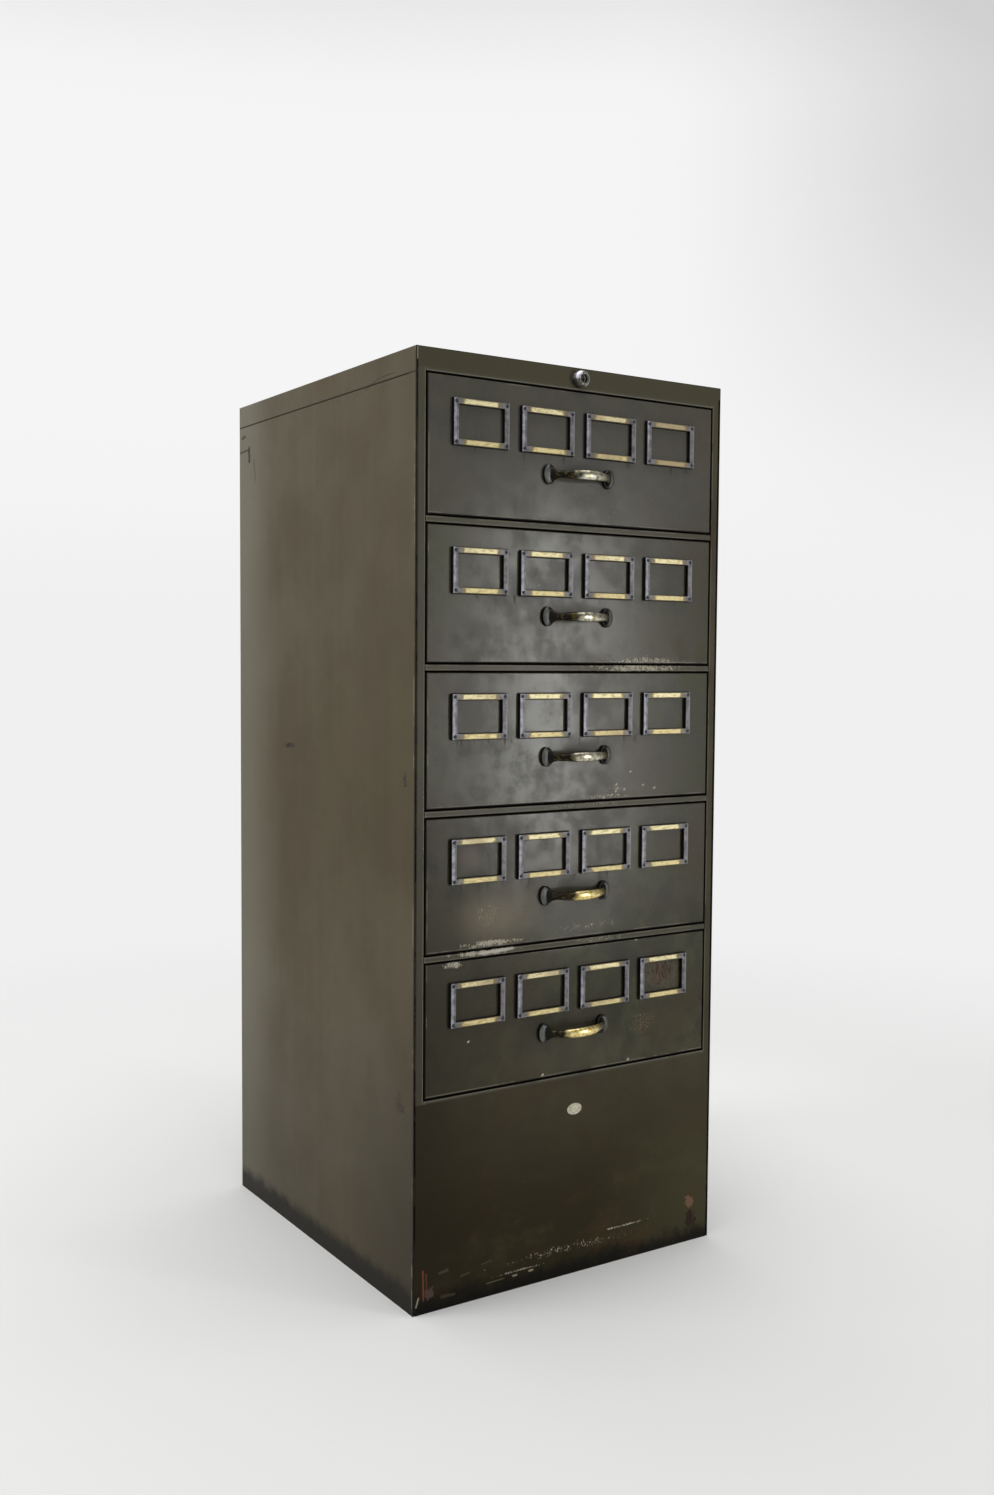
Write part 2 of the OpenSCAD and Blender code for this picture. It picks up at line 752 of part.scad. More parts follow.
// Upright lock bar; its top turns inwards to the lift pin that runs in the link's slot
module lock_bar() {
    arm = lift_edge;
    color(zinc) {
        block([bar_x, bar_y, bar_low], [bar_x + bar_w, bar_y + bar_t, lift_z + arm]);
        block([lift_x - arm, bar_y, lift_z - arm], [bar_x + bar_w, bar_y + bar_t, lift_z + arm]);
        translate([lift_x, bar_y, lift_z]) rotate([-90, 0, 0])
            cylinder(d = lift_pin_d, h = link_y + bar_t + pin_past - bar_y);
    }
}

// One hook for each drawer, riveted to the back of the bar
module lock_hooks() {
    color(zinc) for (n = [1:drawers]) {
        top = opening_z(n) + hook_rest_top;
        block([bar_x - hook_reach, hook_y, top - hook_h],
              [bar_x + bar_w - hook_inset, hook_y + bar_t, top]);
    }
}

// Loop of strap with the clear space low..high inside, open along the axis named by run
module loop(low, high, run) {
    gap = [for (i = [0:2]) i == run ? 0 : guide_gap];
    strap = [for (i = [0:2]) i == run ? 0 : guide_gap + guide_t];
    past = [for (i = [0:2]) i == run ? 1 : guide_gap];
    difference() {
        block(low - strap, high + strap);
        block(low - past, high + past);
    }
}

// Two loops under the top cap carry the link, and three on the upright guide the lock bar
module bar_guides() {
    color(zinc) {
        for (part = [1 / 3, 2 / 3]) {
            x = crank_x + (lift_x - crank_x) * part - guide_h / 2;
            loop([x, link_y, lock_z - link_h / 2],
                 [x + guide_h, link_y + bar_t, frame_top - guide_t - guide_gap], 0);
        }
        for (n = [1:2:drawers]) {
            z = opening_z(n) + guide_up;
            loop([bar_x, bar_y, z], [bar_x + bar_w, bar_y + bar_t, z + guide_h], 2);
        }
    }
}

face_frame();
cross_rails();
top_cap();
side_panel_left();
side_panel_right();
back_panel();
base_pan();
uprights();
runners_left();
runners_right();
front_axles();
lock_collar();
lock_nut();
lock_plug();
lock_cam();
link_bar();
lock_bar();
lock_hooks();
bar_guides();
for (n = [1:drawers]) {
    drawer_front(n);
    drawer_tray(n);
    partitions(n);
    label_holders(n);
    pull(n);
    drawer_rails(n);
    front_rollers(n);
    rear_rollers(n);
}
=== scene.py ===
# %% [markdown]
# # Five-drawer steel cabinet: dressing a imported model
# The cabinet is folded sheet steel under one coat of baked olive enamel, with brass label
# holders, bow pulls worn bright by hands, and a chromed lock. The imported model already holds
# every sheet, rail and roller at its real size. This lesson gives those parts their finish and
# swaps the small hardware for finer meshes. Nothing is moved or resized, so the drawers still
# run on their rollers when the model is posed.

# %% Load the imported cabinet
import math
from functools import partialmethod

import bmesh
import bpy
from mathutils import Matrix, Vector


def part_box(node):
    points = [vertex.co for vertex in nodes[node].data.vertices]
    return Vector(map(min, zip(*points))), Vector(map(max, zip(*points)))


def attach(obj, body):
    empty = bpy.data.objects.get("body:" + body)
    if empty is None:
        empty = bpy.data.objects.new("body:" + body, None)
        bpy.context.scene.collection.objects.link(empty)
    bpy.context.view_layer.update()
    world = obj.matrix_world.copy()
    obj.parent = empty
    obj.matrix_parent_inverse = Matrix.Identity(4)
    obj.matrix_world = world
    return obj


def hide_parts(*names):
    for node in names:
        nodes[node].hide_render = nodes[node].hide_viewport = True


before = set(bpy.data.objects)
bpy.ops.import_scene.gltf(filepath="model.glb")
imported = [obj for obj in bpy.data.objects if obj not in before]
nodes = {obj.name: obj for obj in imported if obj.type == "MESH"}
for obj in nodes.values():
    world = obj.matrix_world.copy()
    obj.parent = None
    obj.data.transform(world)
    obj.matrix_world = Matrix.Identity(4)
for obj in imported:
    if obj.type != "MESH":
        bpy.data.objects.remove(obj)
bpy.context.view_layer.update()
scene = bpy.context.scene

# %% [markdown]
# ## Sizes
# A scene is easier to trust when it measures the parts instead of repeating their sizes. The
# seats that the hardware needs come from the parts' own boxes: the front plane, the pitch of the
# drawers, the height of the pulls and the outline of the label holders. Only the gap round a
# drawer, the holders' pitch and their bars are typed, because no box shows them.

# %% Measure what the hardware sits on
MM = 0.001
LEVELS = range(1, 6)
ROWS = 4
front_low, front_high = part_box("drawer_front_1")
FRONT_Y = front_low.y
FRONT_W = front_high.x - front_low.x
FRONT_H = front_high.z - front_low.z
FRONT_MID_Z = (front_low.z + front_high.z) / 2
PITCH = front_low.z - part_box("drawer_front_2")[0].z
CASE_HALF_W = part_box("top_cap")[1].x
CASE_HALF_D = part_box("top_cap")[1].y
CAP_SEAM_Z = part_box("top_cap")[0].z
GAP = 2 * MM
OPENING_HALF_W = FRONT_W / 2 + GAP
SILL_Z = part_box("drawer_front_5")[0].z - GAP
OPENING_TOP_Z = front_high.z + GAP
holder_low, holder_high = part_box("label_holders_1")
HOLDER_PITCH = 110.8 * MM
HOLDER_W = holder_high.x - holder_low.x - (ROWS - 1) * HOLDER_PITCH
HOLDER_H = holder_high.z - holder_low.z
HOLDER_T = holder_high.y - holder_low.y
HOLDER_UP = (holder_low.z + holder_high.z) / 2 - FRONT_MID_Z
BAR_W = 8 * MM
pull_low, pull_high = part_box("pull_1")
PULL_UP = (pull_low.z + pull_high.z) / 2 - FRONT_MID_Z
print("drawer front", round(FRONT_W, 4), "x", round(FRONT_H, 4), "pitch", round(PITCH, 4))

# %% [markdown]
# ## Camera
# The view is a tall frame from the left of the cabinet, at two thirds of its height, looking
# down by a few degrees. The cabinet's upright edges lean slightly because the camera is rolled by
# less than half a degree. Three named angles give the rotation, which is clearer than Euler
# numbers.

# %% Place the camera
CAMERA_AT = Vector((-1.2287, -1.9745, 0.9034))
CAMERA_HEADING = math.radians(33.07)
CAMERA_PITCH = math.radians(3.45)
CAMERA_ROLL = math.radians(0.41)
CAMERA_LENS = 34.674
FILM_WIDTH = 36


def looking(heading, pitch, roll):
    """Rotation of a camera that looks along a heading measured from +Y towards +X."""
    turn = Matrix.Rotation
    return turn(-heading, 4, "Z") @ turn(math.pi / 2 - pitch, 4, "X") @ turn(roll, 4, "Z")


camera = bpy.data.objects.new("camera", bpy.data.cameras.new("camera"))
scene.collection.objects.link(camera)
camera.data.lens = CAMERA_LENS
camera.data.sensor_width = FILM_WIDTH
camera.matrix_world = Matrix.Translation(CAMERA_AT) @ looking(
    CAMERA_HEADING, CAMERA_PITCH, CAMERA_ROLL)
scene.camera = camera
scene.view_settings.view_transform = "Standard"
print("camera at", tuple(round(v, 3) for v in CAMERA_AT))

# %% [markdown]
# ## A recipe writer for node trees
# Materials in Blender are node trees. Written call by call they are long and hard to read, so a
# small writer adds a node, feeds its sockets and hands back the result. A socket that is given
# to another node becomes a link, and a plain value is set on the socket itself.

# %% Node tree writer


def srgb(red, green, blue):
    """Linear colour, with alpha, of a screen colour given from 0 to 255."""
    def linear(value):
        share = value / 255
        return share / 12.92 if share <= 0.04045 else ((share + 0.055) / 1.055) ** 2.4
    return (linear(red), linear(green), linear(blue), 1)


class Recipe:
    """Writes nodes into one tree."""

    def __init__(self, tree):
        self.tree = tree

    def add(self, kind, feeds=(), **settings):
        node = self.tree.nodes.new(kind)
        for name, value in settings.items():
            setattr(node, name, value)
        for name, value in dict(feeds).items():
            self.feed(node.inputs[name], value)
        return node

    def feed(self, socket, value):
        if isinstance(value, bpy.types.NodeSocket):
            self.tree.links.new(value, socket)
        else:
            socket.default_value = value

    def math(self, operation, *values):
        node = self.add("ShaderNodeMath", dict(enumerate(values)), operation=operation)
        return node.outputs[0]

    plus = partialmethod(math, "ADD")
    minus = partialmethod(math, "SUBTRACT")
    times = partialmethod(math, "MULTIPLY")
    over = partialmethod(math, "DIVIDE")
    size = partialmethod(math, "ABSOLUTE")
    most = partialmethod(math, "MAXIMUM")
    is_less = partialmethod(math, "LESS_THAN")
    is_more = partialmethod(math, "GREATER_THAN")
    wrapped = partialmethod(math, "WRAP")

    def vector(self, operation, *values):
        node = self.add("ShaderNodeVectorMath", dict(enumerate(values)), operation=operation)
        return node.outputs["Value" if operation in ("LENGTH", "DOT_PRODUCT") else "Vector"]

    away = partialmethod(vector, "SUBTRACT")
    moved = partialmethod(vector, "ADD")
    stretched = partialmethod(vector, "MULTIPLY")
    length = partialmethod(vector, "LENGTH")
    dot = partialmethod(vector, "DOT_PRODUCT")

    def scaled(self, vector, factor):
        node = self.add("ShaderNodeVectorMath", {0: vector, "Scale": factor}, operation="SCALE")
        return node.outputs["Vector"]

    def split(self, vector):
        return self.add("ShaderNodeSeparateXYZ", {0: vector}).outputs

    def joined(self, *values):
        return self.add("ShaderNodeCombineXYZ", dict(enumerate(values))).outputs[0]

    def ramp(self, value, start, end):
        """0 at start, 1 at end, smooth between."""
        feeds = {"Value": value, "From Min": start, "From Max": end}
        return self.add("ShaderNodeMapRange", feeds,
                        interpolation_type="SMOOTHSTEP").outputs[0]

    def fade(self, value, start, end):
        """A ramp whose ends are in millimetres."""
        return self.ramp(value, start * MM, end * MM)

    def blend(self, share, first, second):
        """Colour that goes from first to second."""
        node = self.add("ShaderNodeMix", {0: share, 6: first, 7: second}, data_type="RGBA")
        return node.outputs[2]

    def level(self, share, first, second):
        """Number that goes from first to second."""
        node = self.add("ShaderNodeMix", {0: share, 2: first, 3: second}, data_type="FLOAT")
        return node.outputs[0]

    def noise(self, position, scale, detail=3.0, roughness=0.55):
        feeds = {"Vector": position, "Scale": scale, "Detail": detail, "Roughness": roughness}
        return self.add("ShaderNodeTexNoise", feeds).outputs[0]

    def bump(self, height, distance, strength=1.0):
        feeds = {"Height": height, "Distance": distance, "Strength": strength}
        return self.add("ShaderNodeBump", feeds).outputs[0]

    def group(self, tree, **feeds):
        return self.add("ShaderNodeGroup", feeds, node_tree=tree).outputs

    def principled(self, feeds):
        shader = self.add("ShaderNodeBsdfPrincipled", feeds)
        self.add("ShaderNodeOutputMaterial", {"Surface": shader.outputs[0]})


# %% Empty trees, groups and materials
SOCKETS = {"number": "Float", "count": "Int", "vector": "Vector", "colour": "Color",
           "object": "Object", "material": "Material", "geometry": "Geometry"}


def new_tree(kind, name, takes, gives):
    """Recipe and the two ends of an empty group with named inputs and outputs."""
    tree = bpy.data.node_groups.new(name, kind)
    for in_out, sockets in (("INPUT", takes), ("OUTPUT", gives)):
        for label, holds in sockets.items():
            tree.interface.new_socket(label, in_out=in_out,
                                      socket_type="NodeSocket" + SOCKETS[holds])
    recipe = Recipe(tree)
    inside = recipe.add("NodeGroupInput").outputs
    outside = recipe.add("NodeGroupOutput").inputs
    print("tree", name)
    return recipe, inside, outside


def effect_group(name, gives, **takes):
    """Empty shader group that reads a position: its recipe, position and two ends."""
    recipe, inside, outside = new_tree("ShaderNodeTree", name, {"Position": "vector", **takes},
                                       gives)
    return recipe, inside["Position"], inside, outside


def blank_material(name):
    """Material with an empty tree, its recipe and its Object coordinates."""
    material = bpy.data.materials.new(name)
    material.use_nodes = True
    material.node_tree.nodes.clear()
    recipe = Recipe(material.node_tree)
    print("material", name)
    return material, recipe, recipe.add("ShaderNodeTexCoord").outputs["Object"]


# %% [markdown]
# ## Shared effects
# Old enamel ages in a few ways that come back on every sheet: its tone clouds over, it is rubbed
# thin along folds, it stains in ragged patches, and it is chipped and scratched. Each is a node
# group with named inputs, built once, so that every sheet can carry the same effect with its own
# values, and the faint relief of a sprayed sheet is one more. All of them read the piece's own
# coordinates in metres, so the pattern stays on a drawer when it is pulled out.

# %% Clouded tone: a slow mottle with upright wipe marks, tinted here and there
r, at, inside, outside = effect_group(
    "clouded_tone", {"Color": "colour", "Cloud": "number"}, Deep="colour", Light="colour",
    Tint="colour", Wipe="number", Blotch="number")
cloud_group = r.tree
slow = r.noise(at, 7.0, 5.0, 0.62)
blotch = r.noise(at, 38.0, 4.0, 0.6)
wiped = r.noise(r.stretched(at, (30, 30, 1.1)), 1.0, 3.0, 0.6)
streak = r.times(r.minus(wiped, 0.5), inside["Wipe"])
spot = r.times(r.minus(blotch, 0.5), inside["Blotch"])
cloud = r.ramp(r.plus(slow, r.plus(streak, spot)), 0.3, 0.7)
elsewhere = r.moved(at, (3.1, 1.7, 5.3))
tinted = r.ramp(r.noise(elsewhere, 9.0, 4.0, 0.6), 0.42, 0.68)
toned = r.blend(cloud, inside["Deep"], inside["Light"])
r.feed(outside["Color"], r.blend(r.times(tinted, 0.6), toned, inside["Tint"]))
r.feed(outside["Cloud"], cloud)

# %% Sheet surface: orange peel of the sprayed coat over slow waves of the pressed sheet
r, at, inside, outside = effect_group(
    "sheet_surface", {"Normal": "vector"}, Peel="number", Wave="number")
surface_group = r.tree
peel = r.noise(at, 420.0, 2.0, 0.5)
wave = r.noise(at, 4.5, 1.0, 0.4)
height = r.plus(r.times(peel, inside["Peel"]), r.times(wave, inside["Wave"]))
r.feed(outside["Normal"], r.bump(height, 1.0))

# %% Ragged patch: a stain or scuff inside an ellipsoid, in round flecks or upright drips
r, at, inside, outside = effect_group(
    "ragged_patch", {"Mask": "number"}, Centre="vector", Reach="vector", Fleck="number",
    Cover="number", Drip="number")
patch_group = r.tree
offset = r.vector("DIVIDE", r.away(at, inside["Centre"]), inside["Reach"])
torn = r.times(r.minus(r.noise(at, 75.0, 4.0, 0.7), 0.5), 1.5)
core = r.ramp(r.plus(r.length(offset), torn), 1.0, 0.15)
drawn_out = r.stretched(at, r.joined(1.0, 1.0, inside["Drip"]))
fleck = r.noise(drawn_out, inside["Fleck"], 5.0, 0.65)
limit = r.minus(0.86, r.times(r.times(core, inside["Cover"]), 0.55))
r.feed(outside["Mask"], r.ramp(fleck, limit, r.plus(limit, 0.06)))

# %% Edge rub: a thin broken line along a fold, from the distance to that fold
r, at, inside, outside = effect_group(
    "edge_rub", {"Mask": "number"}, Distance="number", Width="number", Cover="number")
rub_group = r.tree
line = r.ramp(r.size(inside["Distance"]), inside["Width"], r.times(inside["Width"], 0.25))
half_cover = r.times(inside["Cover"], 0.5)
broken = r.noise(at, 14.0, 4.0, 0.7)
kept = r.ramp(broken, r.minus(0.75, half_cover), r.minus(0.85, half_cover))
r.feed(outside["Mask"], r.times(line, kept))

# %% Scratch: a thin stroke between two points
r, at, inside, outside = effect_group(
    "scratch_stroke", {"Mask": "number"}, Start="vector", End="vector", Width="number")
scratch_group = r.tree
run = r.away(inside["End"], inside["Start"])
from_start = r.away(at, inside["Start"])
share = r.over(r.dot(from_start, run), r.dot(run, run))
share = r.math("MINIMUM", r.most(share, 0.0), 1.0)
away = r.length(r.away(from_start, r.scaled(run, share)))
wobble = r.times(r.noise(at, 90.0, 2.0), inside["Width"])
r.feed(outside["Mask"], r.ramp(r.minus(away, wobble), r.times(inside["Width"], 0.6), 0.0))

# %% Chips: small round flecks strewn at random
r, at, inside, outside = effect_group(
    "strewn_chips", {"Mask": "number"}, Scale="number", Size="number", Share="number")
chip_group = r.tree
cells = r.add("ShaderNodeTexVoronoi", {"Vector": at, "Scale": inside["Scale"]})
chosen = r.split(cells.outputs["Color"])[0]
dot = r.ramp(cells.outputs["Distance"], inside["Size"], r.times(inside["Size"], 0.6))
r.feed(outside["Mask"], r.times(dot, r.is_less(chosen, inside["Share"])))

# %% [markdown]
# ## Enamel
# One class writes the olive enamel of any sheet. It takes a deep and a light tone, a tint, how
# strong the wipe marks and blotches are, and a roughness, and then marks. A mark is a mask with
# the colour and the roughness that shows through it, laid over the coat in order. Steel sheets
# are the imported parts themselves: only their material slots change.

# %% Enamel writer
BARE_EDGE = srgb(118, 112, 98)
GRIME = srgb(9, 8, 5)
RUST = srgb(96, 62, 44)
CHIP_DARK = srgb(30, 26, 20)
CHIP_PALE = srgb(150, 142, 122)
SCUFF = srgb(168, 162, 144)
# Painted shade: the near-black laid in gaps, seams and round the holders, where shade falls.
PAINTED_GAP_SHADE = srgb(9, 8, 7)
PEEL_HEIGHT = 2.2e-5
WAVE_HEIGHT = 6e-4
PATCH_DEPTH = 20 * MM
BROKEN_ROUGH = 0.6
RUBBED_ROUGH = 0.45
DEEP_ROUGHER = 0.07
LIGHT_SMOOTHER = 0.04
ENAMEL_SHINE = 0.16
FRAME_SHINE = 0.08


class Coat:
    """An enamel in the making; sheet turns millimetres on its main plane into a point."""

    def __init__(self, name, deep, light, tint, wipe, blotch, rough, sheet=None):
        self.material, self.r, self.position = blank_material(name)
        self.sheet = sheet
        cloud = self.r.group(cloud_group, Position=self.position, Deep=deep, Light=light,
                             Tint=tint, Wipe=wipe, Blotch=blotch)
        self.colour = cloud["Color"]
        self.roughness = self.r.level(cloud["Cloud"], rough + DEEP_ROUGHER,
                                      rough - LIGHT_SMOOTHER)
        self.normal = self.r.group(surface_group, Position=self.position, Peel=PEEL_HEIGHT,
                                   Wave=WAVE_HEIGHT)["Normal"]

    def mark(self, mask, colour, roughness, strength=1.0):
        share = self.r.times(mask, strength)
        self.colour = self.r.blend(share, self.colour, colour)
        self.roughness = self.r.level(share, self.roughness, roughness)

    def effect(self, tree, colour, roughness, strength, **feeds):
        mask = self.r.group(tree, Position=self.position, **feeds)["Mask"]
        self.mark(mask, colour, roughness, strength)

    def patch(self, place, reach, colour, fleck, cover, strength=1.0, drip=1.0):
        self.effect(patch_group, colour, BROKEN_ROUGH, strength, Centre=self.sheet(*place),
                    Reach=self.sheet(*reach, PATCH_DEPTH), Fleck=fleck, Cover=cover, Drip=drip)

    def scratch(self, start, end, colour, width, strength):
        self.effect(scratch_group, colour, BROKEN_ROUGH, strength, Start=self.sheet(*start),
                    End=self.sheet(*end), Width=width * MM)

    def rub(self, distance, width, cover, colour, strength):
        self.effect(rub_group, colour, RUBBED_ROUGH, strength, Distance=distance,
                    Width=width * MM, Cover=cover)

    def chips(self, scale, size, share, colour, strength):
        self.effect(chip_group, colour, BROKEN_ROUGH, strength, Scale=scale, Size=size,
                    Share=share)

    def shade(self, place, reach, colour, roughness, strength):
        """Soft oval tint; place is an (across, up) socket pair, reach its half sizes in mm."""
        offset = self.r.joined(self.r.over(place[0], reach[0] * MM),
                               self.r.over(place[1], reach[1] * MM))
        mask = self.r.ramp(self.r.length(offset), 1.0, 0.1)
        self.mark(mask, colour, roughness, strength)

    def done(self, specular):
        self.r.principled({"Base Color": self.colour, "Roughness": self.roughness,
                           "Normal": self.normal, "Specular IOR Level": specular})
        print("enamel", self.material.name, len(self.r.tree.nodes), "nodes")
        return self.material


def dress(node_names, material):
    """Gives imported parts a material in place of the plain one."""
    for name in node_names:
        mesh = nodes[name].data
        mesh.materials.clear()
        mesh.materials.append(material)


# %% [markdown]
# ## Side sheets, cap and back
# The big sheets carry a lighter, warmer copy of the enamel than the front: painted light for the
# bright wall they face. They carry long faint wipe marks, a few strokes and specks, and a dark
# grimy edge where the mop reaches, with painted sheen towards the back and painted shade low
# down. The packed cap, sides and back keep their own meshes, because the folds and the lap seam
# are real there.

# %% Side enamel: tones


def on_side(y, z, x=-CASE_HALF_W):
    """Point on the left side sheet, from millimetres along the depth and up."""
    return (x, y * MM, z * MM)


# Painted light: the side enamel is a lighter, warmer copy of the front's.
side = Coat("side_enamel", srgb(63, 55, 36), srgb(70, 63, 44), srgb(67, 56, 38),
            wipe=0.35, blotch=0.05, rough=0.42, sheet=on_side)
r = side.r
depths, heights = r.split(side.position)[1:3]
side.chips(14.0, 0.030, 0.22, CHIP_DARK, 0.7)
side.chips(38.0, 0.035, 0.02, CHIP_PALE, 0.4)
for place, reach, fleck, cover in (
        ((99, 768), (45, 8), 260, 0.85), ((-269, 740), (12, 30), 300, 0.75),
        ((-258, 287), (30, 35), 220, 0.7)):
    side.patch(place, reach, CHIP_DARK, fleck, cover)
# Painted sheen: the rear of the side sheet is lightened, in place of the wall's reflection at a grazing
# view.
off_back = r.is_less(depths, CASE_HALF_D - 0.3 * MM)
side.mark(r.times(r.fade(depths, 120, 290), off_back), srgb(100, 97, 84), 0.4, 0.65)
# Painted shade: the side darkens towards the floor, most at its low front corner.
side.mark(r.fade(heights, 420, 40), srgb(50, 44, 30), 0.5, 0.4)
low_front = r.times(r.fade(depths, -60, -290), r.fade(heights, 520, 90))
side.mark(low_front, srgb(42, 36, 22), 0.5, 0.7)

# %% Side enamel: strokes, grime and seams
for start, end, width, strength in (
        ((293, 1245), (256, 1247), 1.8, 0.8), ((256, 1248), (256, 1229), 5.0, 0.85),
        ((284, 1268), (272, 1270), 2.8, 0.8), ((238, 1228), (230, 1195), 3.0, 0.35),
        ((-150, 1282), (-190, 1292), 1.4, 0.6), ((-190, 1292), (-235, 1293), 1.4, 0.5)):
    side.scratch(start, end, CHIP_DARK, width, strength)
ragged_height = r.plus(heights, r.times(r.noise(side.position, 26.0, 5.0, 0.7), 40 * MM))
side.mark(r.fade(ragged_height, 66, 40), GRIME, 0.6, 0.85)
from_seam = r.size(r.minus(heights, CAP_SEAM_Z))
side.mark(r.fade(from_seam, 1.7, 0.7), srgb(26, 18, 10), 0.7, 0.8)
from_corner = r.plus(depths, CASE_HALF_D)
side.rub(r.minus(from_corner, 3 * MM), 1.2, 0.5, CHIP_PALE, 0.5)
# Painted shade in the seam at the front corner, next to its rubbed fold.
side.mark(r.fade(from_corner, 2.6, 1.2), PAINTED_GAP_SHADE, 0.7, 0.75)
dress(["side_panel_left", "side_panel_right", "top_cap", "back_panel"], side.done(ENAMEL_SHINE))

# %% [markdown]
# ## Drawer fronts
# Fronts are handled every day, so the enamel there is greyer, smoother and cloudier than on the
# sides, with rubbed lower and left folds. All five share one material: their coordinates differ,
# so no two look alike. The distance to a front's own edges comes from wrapping the height by the
# drawer pitch, which saves a material for each drawer.

# %% Front enamel


def on_front(x, z, y=FRONT_Y):
    """Point on the front plane, from millimetres across and up."""
    return (x * MM, y, z * MM)


front = Coat("front_enamel", srgb(42, 40, 25), srgb(65, 64, 47), srgb(58, 49, 34),
             wipe=0.25, blotch=0.8, rough=0.22, sheet=on_front)
r = front.r
x, y, z = r.split(front.position)
in_drawer = r.wrapped(r.minus(z, FRONT_MID_Z), PITCH / 2, -PITCH / 2)
below = r.plus(in_drawer, FRONT_H / 2)
above = r.minus(FRONT_H / 2, in_drawer)
at_left = r.plus(x, FRONT_W / 2)
at_right = r.minus(FRONT_W / 2, x)
# Painted shade: the fronts darken towards their lower left.
painted_shade_low_left = r.times(r.fade(x, -60, -250), r.fade(z, 900, 450))
front.mark(painted_shade_low_left, srgb(34, 29, 12), 0.4, 0.8)
# Painted light: the fronts are lightened towards the top drawer's top.
front.mark(r.fade(z, 1020, 1200), srgb(83, 81, 77), 0.26, 0.45)
front.chips(20.0, 0.03, 0.10, CHIP_DARK, 0.7)
front.chips(45.0, 0.06, 0.025, CHIP_PALE, 0.6)

# %% Painted shadow under the pulls, painted sheen, and stains on the fronts
# Painted shadow: a dark oval under each pull.
painted_shadow_under_pull = (r.minus(x, 12 * MM), r.minus(in_drawer, PULL_UP + 7 * MM))
front.shade(painted_shadow_under_pull, (66, 20), srgb(22, 19, 13), 0.4, 0.6)
# Soft ovals: a pale brownish stain with painted sheen in it, a pinkish stain in a window, then painted
# sheen on the middles of the two lowest drawers.
for place, reach, tone, strength in (
        ((-135, 545), (95, 55), srgb(124, 112, 94), 0.42),
        ((-178, 632), (32, 26), srgb(100, 84, 74), 0.35),
        ((0, 525), (130, 60), srgb(96, 95, 86), 0.4),
        ((0, 330), (150, 60), srgb(76, 73, 58), 0.4)):
    spot = (r.minus(x, place[0] * MM), r.minus(z, place[1] * MM))
    front.shade(spot, reach, tone, 0.28, strength)
for place, reach, fleck, cover in (
        ((130, 904), (150, 13), 588, 0.70), ((70, 716), (50, 16), 784, 0.56),
        ((60, 706), (120, 6), 588, 0.62), ((30, 517), (150, 12), 588, 0.56),
        ((-206, 484), (30, 12), 462, 0.80), ((-140, 508), (95, 9), 588, 0.80)):
    front.patch(place, reach, SCUFF, fleck, cover, 0.85)
for place, reach, tone, fleck, cover, strength, drip in (
        ((168, 432), (60, 42), srgb(76, 62, 48), 110, 1.25, 0.55, 0.6),
        ((168, 432), (48, 36), srgb(38, 27, 20), 260, 0.74, 0.85, 0.3),
        ((127, 360), (50, 40), srgb(128, 100, 74), 420, 0.6, 0.6, 1.0)):
    front.patch(place, reach, tone, fleck, cover, strength, drip)
front.scratch((164, 444), (158, 426), RUST, 2.4, 0.6)
front.scratch((165, 443), (173, 424), RUST, 2.0, 0.5)
front.patch((-150, 548), (50, 35), srgb(150, 136, 112), 420, 0.6, 0.7)
for across, up in ((75, 722), (77, 716), (74, 712), (90, 714), (67, 707), (52, 703), (101, 740),
                   (125, 719), (147, 714), (-180, 372), (-53, 306), (103, 306), (116, 487)):
    front.scratch((across, up), (across + 1.5, up + 0.8), SCUFF, 1.7, 0.9)
front.patch((166, 396), (20, 14), srgb(62, 38, 28), 200, 0.8, 0.5, 0.3)

# %% Painted shadow round the holders and in the gaps, with stains and rubbed edges
across = r.size(r.minus(r.wrapped(x, HOLDER_PITCH, 0.0), HOLDER_PITCH / 2))
in_row = r.is_less(r.size(x), HOLDER_PITCH * ROWS / 2)
up = r.minus(in_drawer, HOLDER_UP)


def past_frame(inset):
    """Distance out from a holder's outline, or from a smaller one inset by a size."""
    return r.most(r.minus(across, HOLDER_W / 2 - inset),
                  r.minus(r.size(up), HOLDER_H / 2 - inset))


# Painted shadow: a dark outline round each holder, where its raised frame meets the front.
painted_holder_shadow = r.times(r.fade(past_frame(0), 1.8, 0.5), r.fade(past_frame(BAR_W), -1.4, -0.4))
front.mark(r.times(painted_holder_shadow, in_row), PAINTED_GAP_SHADE, 0.6, 0.85)
drip = r.times(r.ramp(up, -HOLDER_H / 2 - 16 * MM, -HOLDER_H / 2 - 4 * MM),
               r.is_less(up, -HOLDER_H / 2))
run_down = r.noise(r.stretched(front.position, (150, 150, 14)), 1.0, 3.0, 0.6)
drip = r.times(r.times(drip, in_row), r.ramp(run_down, 0.58, 0.66))
front.mark(drip, srgb(40, 28, 20), 0.5, 0.6)
# Each edge of a front gets a broken rub and, in the gap past it, painted shade.
for distance, width, cover in ((below, 2.6, 0.65), (at_left, 2.4, 0.5), (above, 1.6, 0.4),
                               (at_right, 1.6, 0.3)):
    front.rub(r.minus(distance, width * MM), 1.2, cover, BARE_EDGE, 0.5)
    front.mark(r.fade(distance, width - 0.4, width - 1.2), PAINTED_GAP_SHADE, 0.7, 0.9)
# Painted shade: everything on the fronts behind their face, their folded sides included, is made dark.
front.mark(r.fade(r.minus(y, FRONT_Y), 0.6, 1.4), PAINTED_GAP_SHADE, 0.8, 0.8)
dress([f"drawer_front_{n}" for n in LEVELS], front.done(ENAMEL_SHINE))

